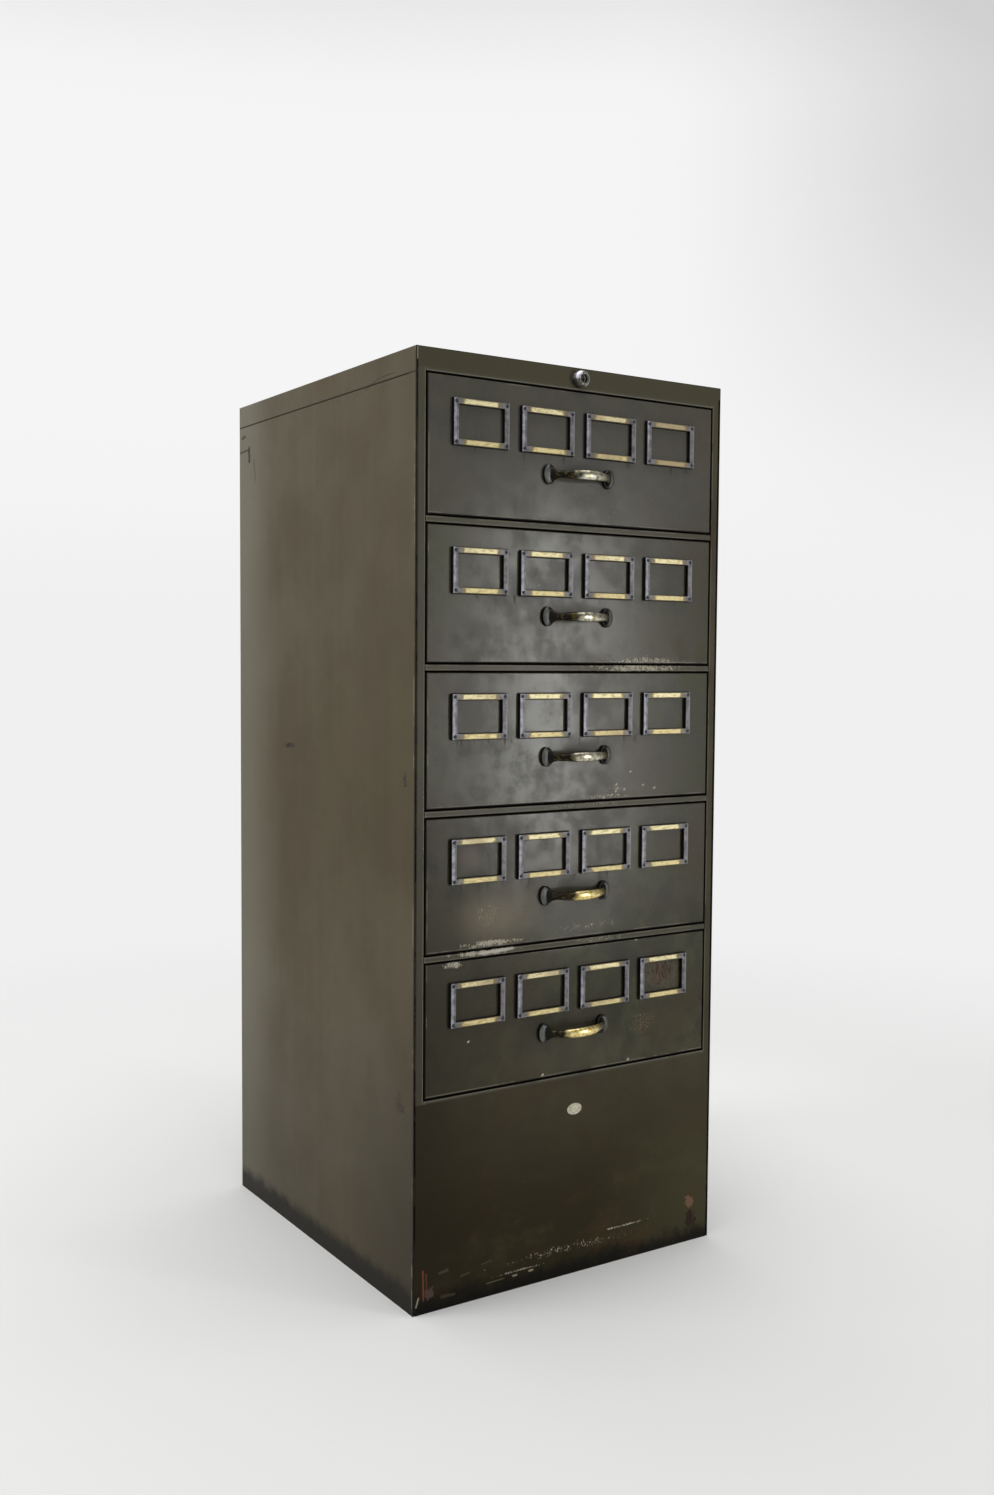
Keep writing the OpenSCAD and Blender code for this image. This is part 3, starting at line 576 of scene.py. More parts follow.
# %% [markdown]
# ## Face frame and cross rails
# The frame is one pressed sheet with four rails across it. Its lower panel is the darkest part of
# the cabinet and grows darker and browner towards the bottom; rust has come through near both
# lower corners, and the lowest 30 mm are black with grime.

# %% Frame enamel: tones
pressed = Coat("frame_enamel", srgb(52, 48, 34), srgb(63, 59, 43), srgb(60, 50, 36),
               wipe=0.15, blotch=0.3, rough=0.34, sheet=on_front)
r = pressed.r
x, y, z = r.split(pressed.position)
# The lower panel darkens and browns towards the bottom.
lower_panel = r.ramp(z, SILL_Z + 30 * MM, 90 * MM)
pressed.mark(lower_panel, srgb(37, 32, 14), 0.44, 0.92)
# Painted light: the lower panel is lightened towards the right.
pressed.mark(r.times(lower_panel, r.fade(x, 20, 250)), srgb(60, 57, 37), 0.4, 0.75)
# Painted light: the frame is lightened towards its top.
pressed.mark(r.fade(z, 1100, 1290), srgb(70, 67, 52), 0.3, 0.7)
wiped = r.stretched(pressed.position, (9, 9, 14))
for shift, tone in (((0, 0, 0), srgb(66, 46, 28)), ((4.4, 2.2, 6.1), srgb(62, 60, 40))):
    stain = r.ramp(r.noise(r.moved(wiped, shift), 1.0, 5.0, 0.68), 0.5, 0.72)
    pressed.mark(r.times(stain, lower_panel), tone, 0.42, 0.5)
# Painted shade: the frame darkens towards its lower left.
pressed.mark(r.times(r.fade(x, -90, -260), r.fade(z, 900, 200)), srgb(32, 25, 12), 0.44, 0.7)

# %% Frame enamel: rails, stile and the folds round the openings
RAIL_H = PITCH - FRONT_H - 2 * GAP
mouth_side = r.minus(r.size(x), OPENING_HALF_W)
above_sill = r.wrapped(r.minus(z, SILL_Z), PITCH / 2, -PITCH / 2)
below_head = r.wrapped(r.minus(SILL_Z - RAIL_H, z), PITCH / 2, -PITCH / 2)
in_height = r.times(r.is_more(z, SILL_Z - RAIL_H / 2), r.is_less(z, OPENING_TOP_Z + RAIL_H / 2))
in_width = r.times(in_height, r.is_less(mouth_side, 0.0))
pressed.mark(in_width, srgb(74, 73, 63), 0.24, 0.6)
left_stile = r.times(in_height, r.is_less(x, -OPENING_HALF_W))
pressed.mark(left_stile, srgb(76, 76, 66), 0.3, 0.45)
# Painted shade in the gap next to each fold round the openings, with a broken rub on the fold.
for distance, within, cover in ((mouth_side, in_height, 0.8), (above_sill, in_width, 0.7),
                                (below_head, in_width, 0.8)):
    from_fold = r.size(r.level(within, 1.0, distance))
    pressed.mark(r.fade(from_fold, 0.8, 0.4), PAINTED_GAP_SHADE, 0.7, 0.9)
    pressed.rub(r.minus(from_fold, 1.5 * MM), 1.1, cover, BARE_EDGE, 0.45)
# Painted shade: everything behind the frame's face is made dark.
pressed.mark(r.fade(r.minus(y, FRONT_Y), 0.6, 1.4), PAINTED_GAP_SHADE, 0.8, 0.8)
pressed.chips(24.0, 0.035, 0.10, CHIP_PALE, 0.5)

# %% Frame enamel: scuffs, grime and rust
for place, reach, fleck, cover in (
        ((110, 894), (150, 12), 520, 0.80), ((-150, 496), (95, 8), 546, 0.95),
        ((40, 495), (110, 8), 546, 0.6), ((20, 695), (200, 8), 546, 0.55),
        ((100, 52), (90, 3), 390, 0.78), ((-90, 26), (90, 3), 390, 0.72),
        ((0, 40), (240, 14), 442, 0.55), ((-250, 700), (10, 300), 442, 0.5)):
    pressed.patch(place, reach, SCUFF, fleck, cover, 0.8)
ragged_z = r.plus(z, r.times(r.noise(pressed.position, 30.0, 6.0, 0.75), 60 * MM))
pressed.mark(r.fade(ragged_z, 66, 34), GRIME, 0.6, 0.9)
for place, reach, tone, fleck, cover, strength, drip in (
        ((230, 36), (18, 26), srgb(42, 28, 22), 260, 1.1, 1.0, 0.4),
        ((229, 62), (14, 18), srgb(104, 80, 62), 160, 1.35, 0.8, 1.0),
        ((-239, 28), (14, 18), srgb(66, 54, 50), 200, 1.1, 1.0, 0.4)):
    pressed.patch(place, reach, tone, fleck, cover, strength, drip)
for start, end, tone, width in (
        ((-160, 495), (-106, 497), srgb(176, 174, 164), 2.4),
        ((-250, 19), (-251, 61), srgb(112, 62, 42), 1.6), ((-244, 25), (-246, 55), srgb(84, 50, 38), 1.8),
        ((-262, 12), (-258, 24), CHIP_PALE, 1.4), ((-155, 49), (-138, 51), srgb(74, 68, 48), 1.0),
        ((-147, 19), (-117, 20), srgb(88, 80, 58), 1.1), ((-101, 20), (-95, 20), CHIP_PALE, 1.6),
        ((-73, 21), (-67, 21), CHIP_PALE, 2.0), ((-220, 18), (-200, 17), srgb(60, 56, 36), 2.6),
        ((-224, 52), (-212, 54), srgb(66, 64, 46), 2.8), ((-190, 40), (-176, 42), srgb(72, 66, 46), 1.2)):
    pressed.scratch(start, end, tone, width, 0.7)
from_side = r.plus(x, CASE_HALF_W)
# Painted shade in the seam at the frame's side edge.
pressed.mark(r.fade(from_side, 1.6, 0.6), PAINTED_GAP_SHADE, 0.7, 0.8)
pressed.rub(r.minus(from_side, 2.4 * MM), 1.1, 0.7, CHIP_PALE, 0.55)
dress(["face_frame", "cross_rails"], pressed.done(FRAME_SHINE))

# %% [markdown]
# ## Inside: trays, runners and lock train
# Trays, partitions and the case's base and uprights have the same kind of coat, duller and with
# more chips. Runners, rollers, rails and the lock train are zinc-plated: grey and faintly
# spangled. Both finishes are plain on purpose, because a closed cabinet hides them and an open
# drawer shows them only in part.

# %% Inner enamel
inner = Coat("inner_enamel", srgb(58, 54, 41), srgb(72, 68, 54), srgb(66, 57, 43),
             wipe=0.3, blotch=0.2, rough=0.45)
inner.chips(22.0, 0.06, 0.2, CHIP_DARK, 0.5)
inner.chips(60.0, 0.06, 0.03, CHIP_PALE, 0.5)
dress([f"{stem}_{n}" for stem in ("drawer_tray", "partitions") for n in LEVELS]
      + ["base_pan", "uprights"], inner.done(ENAMEL_SHINE))

# %% Plated and polished metals
METAL_GRAIN = 3e-6


def drifting_finish(name, deep, light, cloud_scale, rough_deep, rough_light, metallic=1.0):
    """Finish whose tone and gloss both drift with one noise: metal, or lacquer at metallic 0."""
    material, r, position = blank_material(name)
    share = r.ramp(r.noise(position, cloud_scale, 4.0, 0.6), 0.35, 0.65)
    r.principled({"Base Color": r.blend(share, deep, light),
                  "Roughness": r.level(share, rough_deep, rough_light), "Metallic": metallic,
                  "Normal": r.bump(r.noise(position, 900.0, 2.0), METAL_GRAIN)})
    return material


zinc = drifting_finish("zinc_plate", srgb(112, 112, 108), srgb(150, 150, 146), cloud_scale=60.0,
                       rough_deep=0.5, rough_light=0.32)
plug_metal = drifting_finish("plug_metal", srgb(52, 51, 44), srgb(92, 90, 78),
                             cloud_scale=260.0, rough_deep=0.42, rough_light=0.3)
dress([f"{stem}_{n}" for stem in ("drawer_rails", "front_rollers", "rear_rollers")
       for n in LEVELS]
      + ["runners_left", "runners_right", "front_axles", "lock_nut", "lock_cam", "link_bar",
         "lock_bar", "lock_hooks", "bar_guides"], zinc)
dress(["lock_plug"], plug_metal)

# %% [markdown]
# ## Label holders
# A label holder is a pressed brass frame held by four pins. Cards slide in behind its bars from
# above. Lacquer has gone grey-violet on the ends and the uprights, its violet strips along the
# outer edges lightened as painted reflection, and the side walls are painted near-black as shade,
# while fingers have polished the middle of the top and bottom bars. One frame is swept by hand: a
# bar's section is carried round four mitred corners, which a bevelled box can't do cleanly.
# Geometry Nodes then sets four frames in a row and a pin in every corner, so the row's pitch and
# the pins' seats stay sizes.

# %% One label frame
CARD_GAP = 1 * MM
CARD_LAP = 3 * MM
BEVEL = 0.5 * MM


def clean(made):
    """Merges doubles and turns every face outwards."""
    bmesh.ops.remove_doubles(made, verts=made.verts, dist=1e-6)
    bmesh.ops.recalc_face_normals(made, faces=made.faces)


def mesh_object(name, made, material=None, smooth=True):
    """Object at the origin from a bmesh, which it frees."""
    mesh = bpy.data.meshes.new(name)
    made.to_mesh(mesh)
    made.free()
    if smooth:
        mesh.shade_smooth()
    if material:
        mesh.materials.append(material)
    piece = bpy.data.objects.new(name, mesh)
    scene.collection.objects.link(piece)
    return piece


def swept_frame(width, height, section):
    """Closed picture frame: section points are (distance in from the outer edge, depth)."""
    made = bmesh.new()
    corners = [(-1, -1), (1, -1), (1, 1), (-1, 1)]
    rings = [[made.verts.new((sx * (width / 2 - inward), -out, sz * (height / 2 - inward)))
              for inward, out in section] for sx, sz in corners]
    count = len(section)
    for corner, ring in enumerate(rings):
        after = rings[(corner + 1) % len(rings)]
        for i in range(count):
            j = (i + 1) % count
            made.faces.new((ring[i], after[i], after[j], ring[j]))
    clean(made)
    return made


bar_section = [
    (0, 0), (0, HOLDER_T - BEVEL), (BEVEL, HOLDER_T), (BAR_W - BEVEL, HOLDER_T),
    (BAR_W, HOLDER_T - BEVEL), (BAR_W, CARD_GAP), (BAR_W - CARD_LAP, CARD_GAP),
    (BAR_W - CARD_LAP, 0)]
label_frame = mesh_object("label_frame", swept_frame(HOLDER_W, HOLDER_H, bar_section),
                          smooth=False)
print("label frame", len(label_frame.data.polygons), "faces")

# %% Holder brass: grey patina with violet edges lightened as painted reflection, walls painted dark as shade, and bars rubbed bright in the middle
RUB_HALF = 29.5 * MM
HOLDER_FACE_Y = FRONT_Y - HOLDER_T


def holder_brass():
    """Brass that knows where it is in its own frame, by wrapping across and up."""
    material, r, position = blank_material("holder_brass")
    x, y, z = r.split(position)
    across = r.minus(r.wrapped(x, HOLDER_PITCH, 0.0), HOLDER_PITCH / 2)
    up = r.wrapped(r.minus(z, FRONT_MID_Z + HOLDER_UP), PITCH / 2, -PITCH / 2)
    lower = r.is_less(up, 0.0)
    from_left = r.plus(across, HOLDER_W / 2)
    height_in = r.minus(r.size(up), HOLDER_H / 2 - BAR_W)
    facing = r.ramp(y, HOLDER_FACE_Y + 0.7 * MM, HOLDER_FACE_Y + 0.2 * MM)
    mottle = r.noise(position, 110.0, 4.0, 0.65)

    clouded = r.ramp(mottle, 0.38, 0.62)
    lavender = r.blend(clouded, srgb(98, 97, 104), srgb(142, 141, 150))
    grey = r.blend(clouded, srgb(66, 64, 65), srgb(104, 102, 104))
    # Violet lacquer strips on the frame's left and right outer edges, lightened as painted reflection.
    patina = r.blend(r.fade(from_left, 5.5, 2.5), grey, lavender)
    right_edge = r.ramp(from_left, HOLDER_W - 2.6 * MM, HOLDER_W - 1.2 * MM)
    patina = r.blend(right_edge, patina, srgb(112, 108, 116))

    ragged = r.times(r.minus(mottle, 0.5), 14 * MM)
    shifted = r.minus(across, r.level(lower, -1.5 * MM, 1 * MM))
    reach = r.plus(r.size(shifted), ragged)
    on_bar = r.times(r.fade(height_in, 0.4, 1.6),
                     r.ramp(height_in, BAR_W - 0.4 * MM, BAR_W - 1.7 * MM))
    rubbed = r.times(r.times(r.ramp(reach, RUB_HALF - 1 * MM, RUB_HALF - 5 * MM), on_bar), facing)
    stained = r.times(r.ramp(reach, RUB_HALF + 4 * MM, RUB_HALF), r.is_more(height_in, 0.0))

    pale = r.blend(lower, srgb(214, 204, 160), srgb(198, 184, 132))
    grain = r.noise(r.stretched(position, (120, 300, 300)), 1.0, 4.0, 0.7)
    brass = r.blend(r.times(r.ramp(grain, 0.46, 0.64), 0.8), pale, srgb(150, 134, 88))
    top_right = r.times(r.is_more(x, HOLDER_PITCH), r.is_more(z, FRONT_MID_Z))
    tarnish = r.most(r.ramp(r.noise(position, 8.0, 2.0), 0.5, 0.72), top_right)
    brass = r.blend(r.times(tarnish, 0.8), brass, srgb(140, 122, 92))

    colour = r.blend(rubbed, r.blend(stained, patina, srgb(104, 92, 58)), brass)
    # Painted shade: the side walls, behind the face, are near-black.
    r.principled({
        "Base Color": r.blend(facing, srgb(12, 11, 11), colour),
        "Roughness": r.level(rubbed, 0.45, 0.5), "Metallic": r.level(rubbed, 0.25, 0.4),
        "Normal": r.bump(r.noise(position, 55.0, 4.0, 0.6), 4e-5, 0.6)})
    return material


holder_finish = holder_brass()
pin_finish = drifting_finish("pin_metal", srgb(8, 8, 8), srgb(16, 15, 15), cloud_scale=200.0,
                             rough_deep=0.6, rough_light=0.5, metallic=0.0)

# %% Geometry Nodes: a row of frames with a pin in every corner
PIN_RADIUS = 2.6 * MM
PIN_HEIGHT = 1 * MM


def holder_row_tree():
    sizes = dict.fromkeys(("Pitch", "Width", "Height", "Inset", "Pin radius", "Pin height",
                           "Front", "Surface", "Middle"), "number")
    r, inside, outside = new_tree("GeometryNodeTree", "holder_row", {
        "Frame": "object", "Count": "count", **sizes, "Brass": "material",
        "Pin metal": "material"}, {"Geometry": "geometry"})

    def nodes_made(kind, feeds, **settings):
        return r.add("GeometryNode" + kind, feeds, **settings).outputs[0]

    half_run = r.times(r.times(inside["Pitch"], 0.5), r.minus(inside["Count"], 1.0))
    seats = nodes_made("MeshLine", {
        "Count": inside["Count"], "Offset": r.joined(inside["Pitch"]),
        "Start Location": r.joined(r.times(half_run, -1.0), inside["Front"], inside["Middle"])},
        mode="OFFSET")
    source = r.add("GeometryNodeObjectInfo", {"Object": inside["Frame"]}).outputs["Geometry"]
    frames = nodes_made("InstanceOnPoints", {"Points": seats, "Instance": source})
    brass = nodes_made("SetMaterial", {"Geometry": frames, "Material": inside["Brass"]})

    twice = r.times(inside["Inset"], 2.0)
    corners = nodes_made("MeshGrid", {
        "Size X": r.minus(inside["Width"], twice), "Size Y": r.minus(inside["Height"], twice),
        "Vertices X": 2, "Vertices Y": 2})
    upright = nodes_made("Transform", {"Geometry": corners, "Rotation": (math.pi / 2, 0, 0)})
    head = nodes_made("MeshUVSphere", {
        "Segments": 16, "Rings": 8, "Radius": inside["Pin radius"]})
    domed = nodes_made("Transform", {
        "Geometry": head,
        "Translation": r.joined(0.0, r.minus(inside["Surface"], inside["Front"]), 0.0),
        "Scale": r.joined(1.0, r.over(inside["Pin height"], inside["Pin radius"]), 1.0)})
    four = nodes_made("InstanceOnPoints", {"Points": upright, "Instance": domed})
    all_pins = nodes_made("InstanceOnPoints", {"Points": seats, "Instance": four})
    pins = nodes_made("SetMaterial", {"Geometry": all_pins, "Material": inside["Pin metal"]})
    both = r.add("GeometryNodeJoinGeometry")
    r.tree.links.new(pins, both.inputs[0])
    r.tree.links.new(brass, both.inputs[0])
    r.feed(outside["Geometry"], nodes_made("RealizeInstances", {"Geometry": both.outputs[0]}))
    return r.tree


# %% From modifiers to a plain mesh


def applied(host):
    """Puts what the object's modifiers make into its mesh and drops the modifiers."""
    bpy.context.view_layer.update()
    evaluated = host.evaluated_get(bpy.context.evaluated_depsgraph_get())
    mesh = bpy.data.meshes.new_from_object(evaluated)
    host.modifiers.clear()
    host.data = mesh
    return host


def grown(name, tree, values):
    """Plain mesh object made by a geometry tree, with its inputs set by name."""
    host = bpy.data.objects.new(name, bpy.data.meshes.new(name))
    scene.collection.objects.link(host)
    modifier = host.modifiers.new("grow", "NODES")
    modifier.node_group = tree
    for item in tree.interface.items_tree:
        if item.item_type == "SOCKET" and item.in_out == "INPUT":
            modifier[item.identifier] = values[item.name]
    return applied(host)


# %% Twenty label holders, one row for each drawer
row_tree = holder_row_tree()
for n in LEVELS:
    low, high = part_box(f"label_holders_{n}")
    row = grown(f"label_row_{n}", row_tree, {
        "Frame": label_frame, "Count": ROWS, "Pitch": HOLDER_PITCH, "Width": HOLDER_W,
        "Height": HOLDER_H, "Inset": BAR_W / 2, "Pin radius": PIN_RADIUS,
        "Pin height": PIN_HEIGHT, "Front": FRONT_Y, "Surface": HOLDER_FACE_Y,
        "Middle": (low.z + high.z) / 2, "Brass": holder_finish, "Pin metal": pin_finish})
    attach(row, f"drawer_{n}")
    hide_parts(f"label_holders_{n}")
    print(row.name, len(row.data.polygons), "faces")
bpy.data.objects.remove(label_frame)

# %% [markdown]
# ## Bow pulls
# Each pull is cast in one: two upright oval feet with domed faces, a flared neck on each, and a
# grip that bows out from the drawer along one arc and swells towards its middle. The mesh is a
# loft: oval rings carried along that arc, taller again where the necks flare out. The feet are
# turned and then narrowed to ovals, and a Boolean union makes one closed skin of all three. A
# loft suits the grip because its section changes all the way, which a bevelled curve can't do.

# %% Pull sizes
PULL_CENTRES = 104 * MM
GRIP_H = 13.6 * MM
GRIP_T = 9 * MM
NECK_D = 8.6 * MM
FLARE_H = 20 * MM
FLARE_RISE = 8 * MM
FOOT_W = 20 * MM
FOOT_H = 28 * MM
FOOT_RIM = 4.6 * MM
FOOT_CROWN = 7 * MM
GRIP_RINGS = 81
GRIP_SIDES = 32
FOOT_SIDES = 64
BOW_START = FOOT_RIM / 2
BOW_RISE = FRONT_Y - pull_low.y - GRIP_T / 2 - BOW_START
BOW_R = ((PULL_CENTRES / 2) ** 2 + BOW_RISE ** 2) / (2 * BOW_RISE)
BOW_TURN = math.asin(PULL_CENTRES / 2 / BOW_R)
print("bow radius", round(BOW_R, 4), "rise", round(BOW_RISE, 4))

# %% Grip: a loft along the bow


def grip_loft():
    """Bowed grip from foot to foot; its ends stay inside the feet."""
    made = bmesh.new()
    rings = []
    for i in range(GRIP_RINGS):
        share = i / (GRIP_RINGS - 1)
        angle = BOW_TURN * (2 * share - 1)
        out = BOW_START + BOW_RISE - BOW_R * (1 - math.cos(angle))
        swell = math.sin(math.pi * share) ** 1.5 if 0 < share < 1 else 0
        flare = max(0, min(1, 1 - (out - FOOT_CROWN) / FLARE_RISE)) ** 2
        flat = NECK_D / 2 + (GRIP_T - NECK_D) / 2 * swell
        tall = NECK_D / 2 + (GRIP_H - NECK_D) / 2 * swell + (FLARE_H - NECK_D) / 2 * flare
        ring = []
        for k in range(GRIP_SIDES):
            turn = 2 * math.pi * k / GRIP_SIDES
            across = BOW_R * math.sin(angle) - math.sin(angle) * flat * math.cos(turn)
            depth = max(0.4 * MM, out - math.cos(angle) * flat * math.cos(turn))
            ring.append(made.verts.new((across, -depth, tall * math.sin(turn))))
        rings.append(ring)
    for ring, after in zip(rings, rings[1:]):
        for k in range(GRIP_SIDES):
            j = (k + 1) % GRIP_SIDES
            made.faces.new((ring[k], after[k], after[j], ring[j]))
    made.faces.new(rings[0])
    made.faces.new(rings[-1])
    clean(made)
    return made


# %% Feet: a turned profile


def arc(centre, radius, start, end, steps):
    """Points of a round in a profile, angles in degrees."""
    turns = [math.radians(start + (end - start) * i / steps) for i in range(steps + 1)]
    return [(centre[0] + radius * math.cos(t), centre[1] + radius * math.sin(t)) for t in turns]


def lathe(profile, centre, sides, widen=1):
    """Turns (radius, outward depth) points round an axis along -Y; widen makes ovals of them."""
    made = bmesh.new()
    rings = []
    for radius, out in profile:
        if radius < 1e-7:
            rings.append([made.verts.new(centre + Vector((0, -out, 0)))])
            continue
        turns = [2 * math.pi * k / sides for k in range(sides)]
        rings.append([made.verts.new(centre + Vector((widen * radius * math.cos(t), -out,
                                                      radius * math.sin(t)))) for t in turns])
    for ring, after in zip(rings, rings[1:]):
        for k in range(sides):
            j = (k + 1) % sides
            corners = [ring[k % len(ring)], ring[j % len(ring)],
                       after[j % len(after)], after[k % len(after)]]
            made.faces.new(list(dict.fromkeys(corners)))
    clean(made)
    return made


def foot_profile():
    """Back face, rounded rim and domed face, closed on the axis."""
    half = FOOT_H / 2
    edge = 0.7 * MM
    rim = arc((half - edge, FOOT_RIM - edge), edge, 0, 75, 4)
    dome = [((half - edge) * math.cos(t), FOOT_RIM + (FOOT_CROWN - FOOT_RIM) * math.sin(t))
            for t in (math.pi / 2 * i / 8 for i in range(2, 8))]
    return [(0, 0), (half - 0.3 * MM, 0), (half, 0.3 * MM)] + rim + dome + [(0, FOOT_CROWN)]


# %% One skin from the grip and two feet


def united(base, others):
    """Base with the other objects joined to it in one skin; the others are removed."""
    for other in others:
        modifier = base.modifiers.new("join", "BOOLEAN")
        modifier.operation = "UNION"
        modifier.solver = "EXACT"
        modifier.object = other
    applied(base)
    for other in others:
        bpy.data.objects.remove(other)
    return base


grip = mesh_object("pull_master", grip_loft())
feet = []
for side_sign in (-1, 1):
    foot_at = Vector((side_sign * PULL_CENTRES / 2, 0, 0))
    foot_made = lathe(foot_profile(), foot_at, FOOT_SIDES, FOOT_W / FOOT_H)
    feet.append(mesh_object(f"foot_{side_sign}", foot_made))
pull_master = united(grip, feet)
print("pull", len(pull_master.data.polygons), "faces")

# %% Pull brass: feet and necks dark with patina and painted shade, the left foot painted lighter, grip rubbed bright towards the right of its middle
GOLD_BELOW_Z = 0.60
GREY_ABOVE_Z = 0.70
LOWEST_PULL_Z = 0.45


def pull_brass():
    """Brass by place: black rims and throats, a dark left half, all partly painted shade, and a bright
    worn middle.
    """
    material, r, position = blank_material("pull_brass")
    x, y, z = r.split(position)
    out = r.minus(FRONT_Y, y)
    cloud = r.noise(position, 70.0, 4.0, 0.6)
    clouded = r.ramp(cloud, 0.3, 0.7)
    drifted = r.plus(x, r.times(r.minus(cloud, 0.5), 26 * MM))
    worn_from = r.level(r.is_less(z, LOWEST_PULL_Z), -12 * MM, -18 * MM)
    rubbed = r.times(r.ramp(drifted, r.minus(worn_from, 12 * MM), worn_from),
                     r.fade(drifted, 40, 22))

    gold = r.ramp(z, GREY_ABOVE_Z, GOLD_BELOW_Z)
    bright = r.blend(gold, srgb(208, 204, 188), srgb(246, 226, 164))
    stained = r.blend(gold, srgb(128, 122, 84), srgb(196, 172, 84))
    worn = r.blend(r.ramp(r.noise(position, 190.0, 4.0, 0.7), 0.44, 0.60), bright, stained)
    streaks = r.noise(r.stretched(position, (24, 260, 260)), 1.0, 3.0, 0.6)
    # Tarnish and painted shade: the grip's left half is dark, with streaks.
    dull = r.blend(r.ramp(streaks, 0.5, 0.64), srgb(18, 15, 8), srgb(78, 67, 32))
    end_tone = r.blend(clouded, srgb(104, 97, 72), srgb(128, 119, 88))
    colour = r.blend(rubbed, r.blend(r.fade(drifted, 16, 30), dull, end_tone), worn)
    # Patina and painted shade: the grip darkens near the drawer, at the necks.
    colour = r.blend(r.fade(out, 16, 11), colour, srgb(20, 18, 14))

    # Painted light: the left foot is a lighter copy of the right foot's colour.
    left_foot_painted_lit = r.blend(clouded, srgb(70, 72, 68), srgb(98, 100, 94))
    right_foot_painted_shaded = r.blend(clouded, srgb(58, 56, 48), srgb(78, 76, 68))
    foot = r.blend(r.is_more(x, 0.0), left_foot_painted_lit, right_foot_painted_shaded)
    # Each foot's back rim is black with patina and painted shade, and its half towards the grip is black
    # as painted shade and reflection of the dark grip.
    rim = r.ramp(out, FOOT_RIM + 0.3 * MM, FOOT_RIM - 0.3 * MM)
    grip_side_painted_shade = r.ramp(r.size(x), PULL_CENTRES / 2 + 3.5 * MM, PULL_CENTRES / 2)
    foot = r.blend(r.most(rim, grip_side_painted_shade), foot, srgb(8, 8, 7))
    on_foot = r.ramp(out, FOOT_CROWN + 0.6 * MM, FOOT_CROWN)
    r.principled({
        "Base Color": r.blend(on_foot, colour, foot), "Metallic": r.level(on_foot, 0.8, 0.3),
        "Roughness": r.level(rubbed, 0.36, 0.30), "Normal": r.bump(cloud, 5e-5, 0.5)})
    return material


# %% Five bow pulls
pull_finish = pull_brass()
for n in LEVELS:
    low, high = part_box(f"pull_{n}")
    piece = pull_master.copy()
    piece.data = pull_master.data.copy()
    piece.name = f"bow_pull_{n}"
    piece.data.transform(Matrix.Translation((0, FRONT_Y, (low.z + high.z) / 2)))
    piece.data.materials.clear()
    piece.data.materials.append(pull_finish)
    scene.collection.objects.link(piece)
    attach(piece, f"drawer_{n}")
    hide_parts(f"pull_{n}")
    print(piece.name, len(piece.data.polygons), "faces")
bpy.data.objects.remove(pull_master)

# %% [markdown]
# ## Lock
# The collar is a turned and chromed ring with a round rim and a dished face, and it wants more
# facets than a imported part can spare, so a lathe of its profile replaces it. The plug keeps its
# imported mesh, because its keyway is real.

# %% Lock chrome
collar_low, collar_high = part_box("lock_collar")
LOCK_AXIS_Z = (collar_low.z + collar_high.z) / 2


def lock_chrome():
    """Worn chrome with painted highlights by place: a pale patch up on the left and a bright right rim.
    """
    material, r, position = blank_material("lock_chrome")
    cloud = r.noise(position, 260.0, 3.0, 0.6)
    from_axis = r.away(position, (0, FRONT_Y, LOCK_AXIS_Z))
    radius = r.length(r.stretched(from_axis, (1, 0, 1)))
    # Painted highlights: a pale patch up on the left and a bright crescent on the right rim.
    up_left = r.stretched(r.away(from_axis, (-7 * MM, 0, 5 * MM)), (1, 0, 1))
    pale = r.times(r.fade(r.length(up_left), 9.5, 4), r.ramp(cloud, 0.36, 0.48))
    rim = r.times(r.fade(radius, 8.4, 10), r.fade(r.split(position)[0], 2, 6))
    colour = r.blend(r.ramp(cloud, 0.35, 0.65), srgb(70, 69, 60), srgb(104, 102, 92))
    colour = r.blend(r.most(pale, rim), colour, srgb(204, 202, 214))
    r.principled({"Base Color": colour, "Roughness": 0.36, "Metallic": 0.5})
    return material


# %% Lock collar
COLLAR_R = (collar_high.x - collar_low.x) / 2
COLLAR_OUT = FRONT_Y - collar_low.y
BORE_R = 6.6 * MM
BARREL_R = 9.5 * MM
RIM_R = 5 * MM
DISH = 3 * MM
COLLAR_SIDES = 72
barrel_depth = FRONT_Y - collar_high.y
rim = arc((COLLAR_R - RIM_R, COLLAR_OUT - RIM_R), RIM_R, 0, 90, 16)
collar_profile = [(BORE_R, COLLAR_OUT - DISH), (BORE_R, barrel_depth), (BARREL_R, barrel_depth),
                  (BARREL_R, 0), (COLLAR_R, 0)] + rim + [(BORE_R, COLLAR_OUT - DISH)]
turned = lathe(collar_profile, Vector((0, FRONT_Y, LOCK_AXIS_Z)), COLLAR_SIDES)
collar = mesh_object("lock_ring", turned, lock_chrome())
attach(collar, "case")
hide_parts("lock_collar")
print("lock ring", len(collar.data.polygons), "faces")

# %% [markdown]
# ## Blank badge
# Such cabinets leave the works with a transfer under the lowest drawer. Here it is a small blank
# oval of pale film with nothing on it, a fifth of a millimetre thick and seated on the panel.

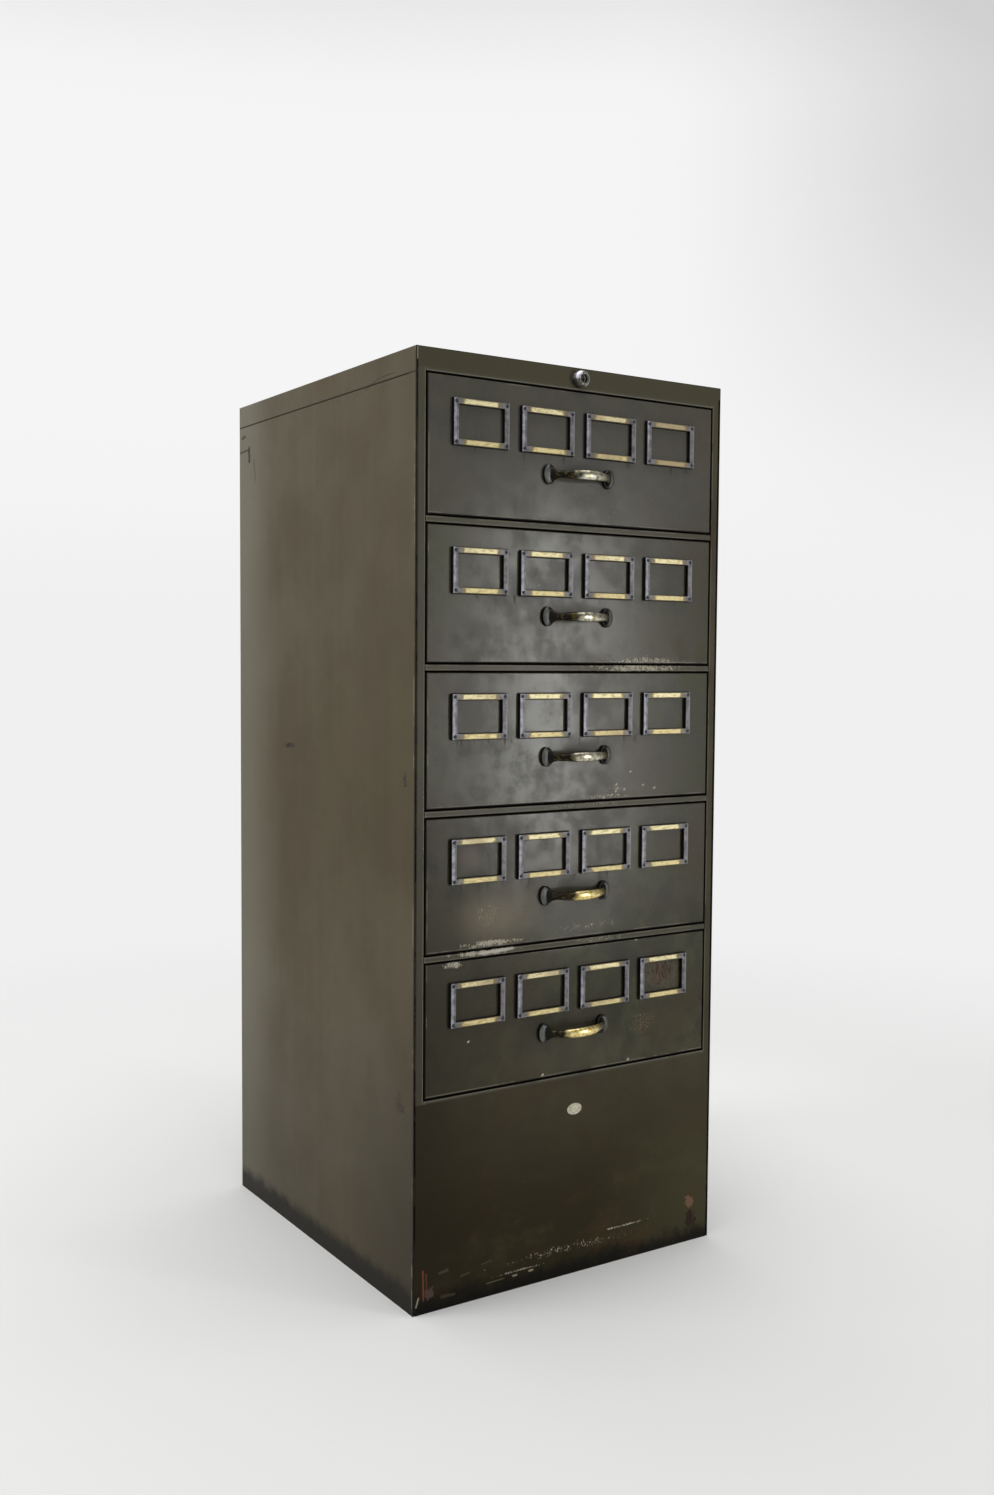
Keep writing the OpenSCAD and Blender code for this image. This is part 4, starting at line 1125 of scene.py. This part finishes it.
# %% Blank oval
BADGE_AT = Vector((5 * MM, FRONT_Y, 247 * MM))
BADGE_W = 26 * MM
BADGE_H = 17 * MM
BADGE_T = 0.2 * MM
BADGE_SIDES = 64
badge_made = lathe([(0, 0), (1, 0), (1, 0.6), (0.97, 1), (0, 1)], Vector(), BADGE_SIDES)
badge_made.transform(Matrix.Diagonal((BADGE_W / 2, BADGE_T, BADGE_H / 2, 1)))
badge_made.transform(Matrix.Translation(BADGE_AT))
badge_film = drifting_finish("badge_film", srgb(150, 145, 122), srgb(186, 182, 160),
                             cloud_scale=300.0, rough_deep=0.5, rough_light=0.45, metallic=0.0)
badge = mesh_object("blank_badge", badge_made, badge_film, smooth=False)
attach(badge, "case")
print("badge", len(badge.data.polygons), "faces")

# %% [markdown]
# ## Floor, room and lamps
# The room is a pale studio. The floor is a wide plane that fades into the background far behind
# the cabinet, so no horizon shows. A tall soft lamp stands to the right of the camera: its
# reflection is the sheen in the middle of the drawer fronts. A wide lamp overhead gives the
# floor its tone and the soft shadow under the case, and a third on the left lights the side
# sheet. The camera and the reflections see the pale walls, while the light that the world gives
# to the sheets is weaker, so the background is nearly white and the enamel stays dark.

# %% Floor
BACKGROUND = srgb(240, 240, 240)
WALL_BRIGHT = srgb(245, 245, 245)
WALL_SHADED = srgb(208, 208, 208)
FLOOR_NEAR = srgb(209, 209, 208)
FLOOR_TONE = srgb(222, 222, 221)
PAINTED_FLOOR_LIGHT = srgb(240, 240, 239)
FLOOR_SIZE = 60
bpy.ops.mesh.primitive_plane_add(size=FLOOR_SIZE)
floor = bpy.context.object
floor.name = "floor"
floor_paint, r, place = blank_material("floor_paint")
seen = r.add("ShaderNodeLightPath").outputs["Is Camera Ray"]
far = r.ramp(r.length(place), 0.5, 2.6)
# Painted shade and light on the floor: darker towards the front left, lighter towards the back right.
away = r.dot(place, (0.76, 0.65, 0))
swept = r.blend(r.ramp(away, -1.3, 1.3), FLOOR_NEAR, FLOOR_TONE)
# Painted light: a pale pool on the floor by the case's right side, where its shadow falls.
painted_light_beside = r.ramp(r.length(r.away(place, (0.6, 0, 0))), 0.85, 0.0)
matt = r.add("ShaderNodeBsdfDiffuse", {"Color": r.blend(painted_light_beside, swept, PAINTED_FLOOR_LIGHT)})
glow = r.add("ShaderNodeEmission", {"Color": BACKGROUND, "Strength": 1.0})
mixed = r.add("ShaderNodeMixShader", {
    0: r.times(seen, far), 1: matt.outputs[0], 2: glow.outputs[0]})
r.add("ShaderNodeOutputMaterial", {"Surface": mixed.outputs[0]})
floor.data.materials.append(floor_paint)

# %% Room
AMBIENT = 0.45
DIM_SIDE = 0.22
world = bpy.data.worlds.new("studio")
scene.world = world
world.use_nodes = True
world.node_tree.nodes.clear()
r = Recipe(world.node_tree)
path = r.add("ShaderNodeLightPath").outputs
direct = r.most(path["Is Camera Ray"], r.most(path["Is Glossy Ray"], path["Is Transmission Ray"]))
ambient = r.add("ShaderNodeBackground", {"Color": (1, 1, 1, 1), "Strength": AMBIENT})
gaze = r.add("ShaderNodeTexCoord").outputs["Generated"]
gaze_up = r.split(gaze)[2]
open_side = r.ramp(r.dot(gaze, (-0.8, 0.6, 0)), -0.9, 0.2)
seen_bright = r.most(path["Is Camera Ray"], r.level(open_side, DIM_SIDE, 1.0))
to_right = r.ramp(r.dot(gaze, (0.84, -0.54, 0)), 0.08, 0.36)
corner_shade = r.plus(r.ramp(gaze_up, 0.34, 0.50), r.times(to_right, r.ramp(gaze_up, 0.04, 0.34)))
wall_low = r.blend(r.ramp(gaze_up, 0.02, 0.16), BACKGROUND, WALL_BRIGHT)
wall_tone = r.blend(corner_shade, wall_low, WALL_SHADED)
shown = r.add("ShaderNodeBackground", {"Color": wall_tone, "Strength": seen_bright})
room = r.add("ShaderNodeMixShader", {0: direct, 1: ambient.outputs[0], 2: shown.outputs[0]})
r.add("ShaderNodeOutputWorld", {"Surface": room.outputs[0]})
print("room with", len(r.tree.nodes), "nodes")

# %% Lamps


def soft_lamp(name, place, target, width, height, power):
    """Rectangular area lamp aimed at a point; power in watts."""
    lamp = bpy.data.objects.new(name, bpy.data.lights.new(name, "AREA"))
    lamp.data.shape = "RECTANGLE"
    lamp.data.size = width
    lamp.data.size_y = height
    lamp.data.energy = power
    lamp.location = place
    aim = Vector(target) - Vector(place)
    lamp.rotation_euler = aim.to_track_quat("-Z", "Y").to_euler()
    scene.collection.objects.link(lamp)
    print("lamp", name, power, "W")


soft_lamp("overhead", place=(-0.1, -0.1, 3.6), target=(0, 0, 0), width=3.6, height=3.6, power=105)
soft_lamp("tall_window", place=(2.35, -3.7, 0.76), target=(0, -0.3, 0.74), width=0.42, height=1.6,
          power=56)
soft_lamp("left_fill", place=(-3.4, 0.8, 1.8), target=(0, 0, 0.7), width=2.0, height=2.4,
          power=75)
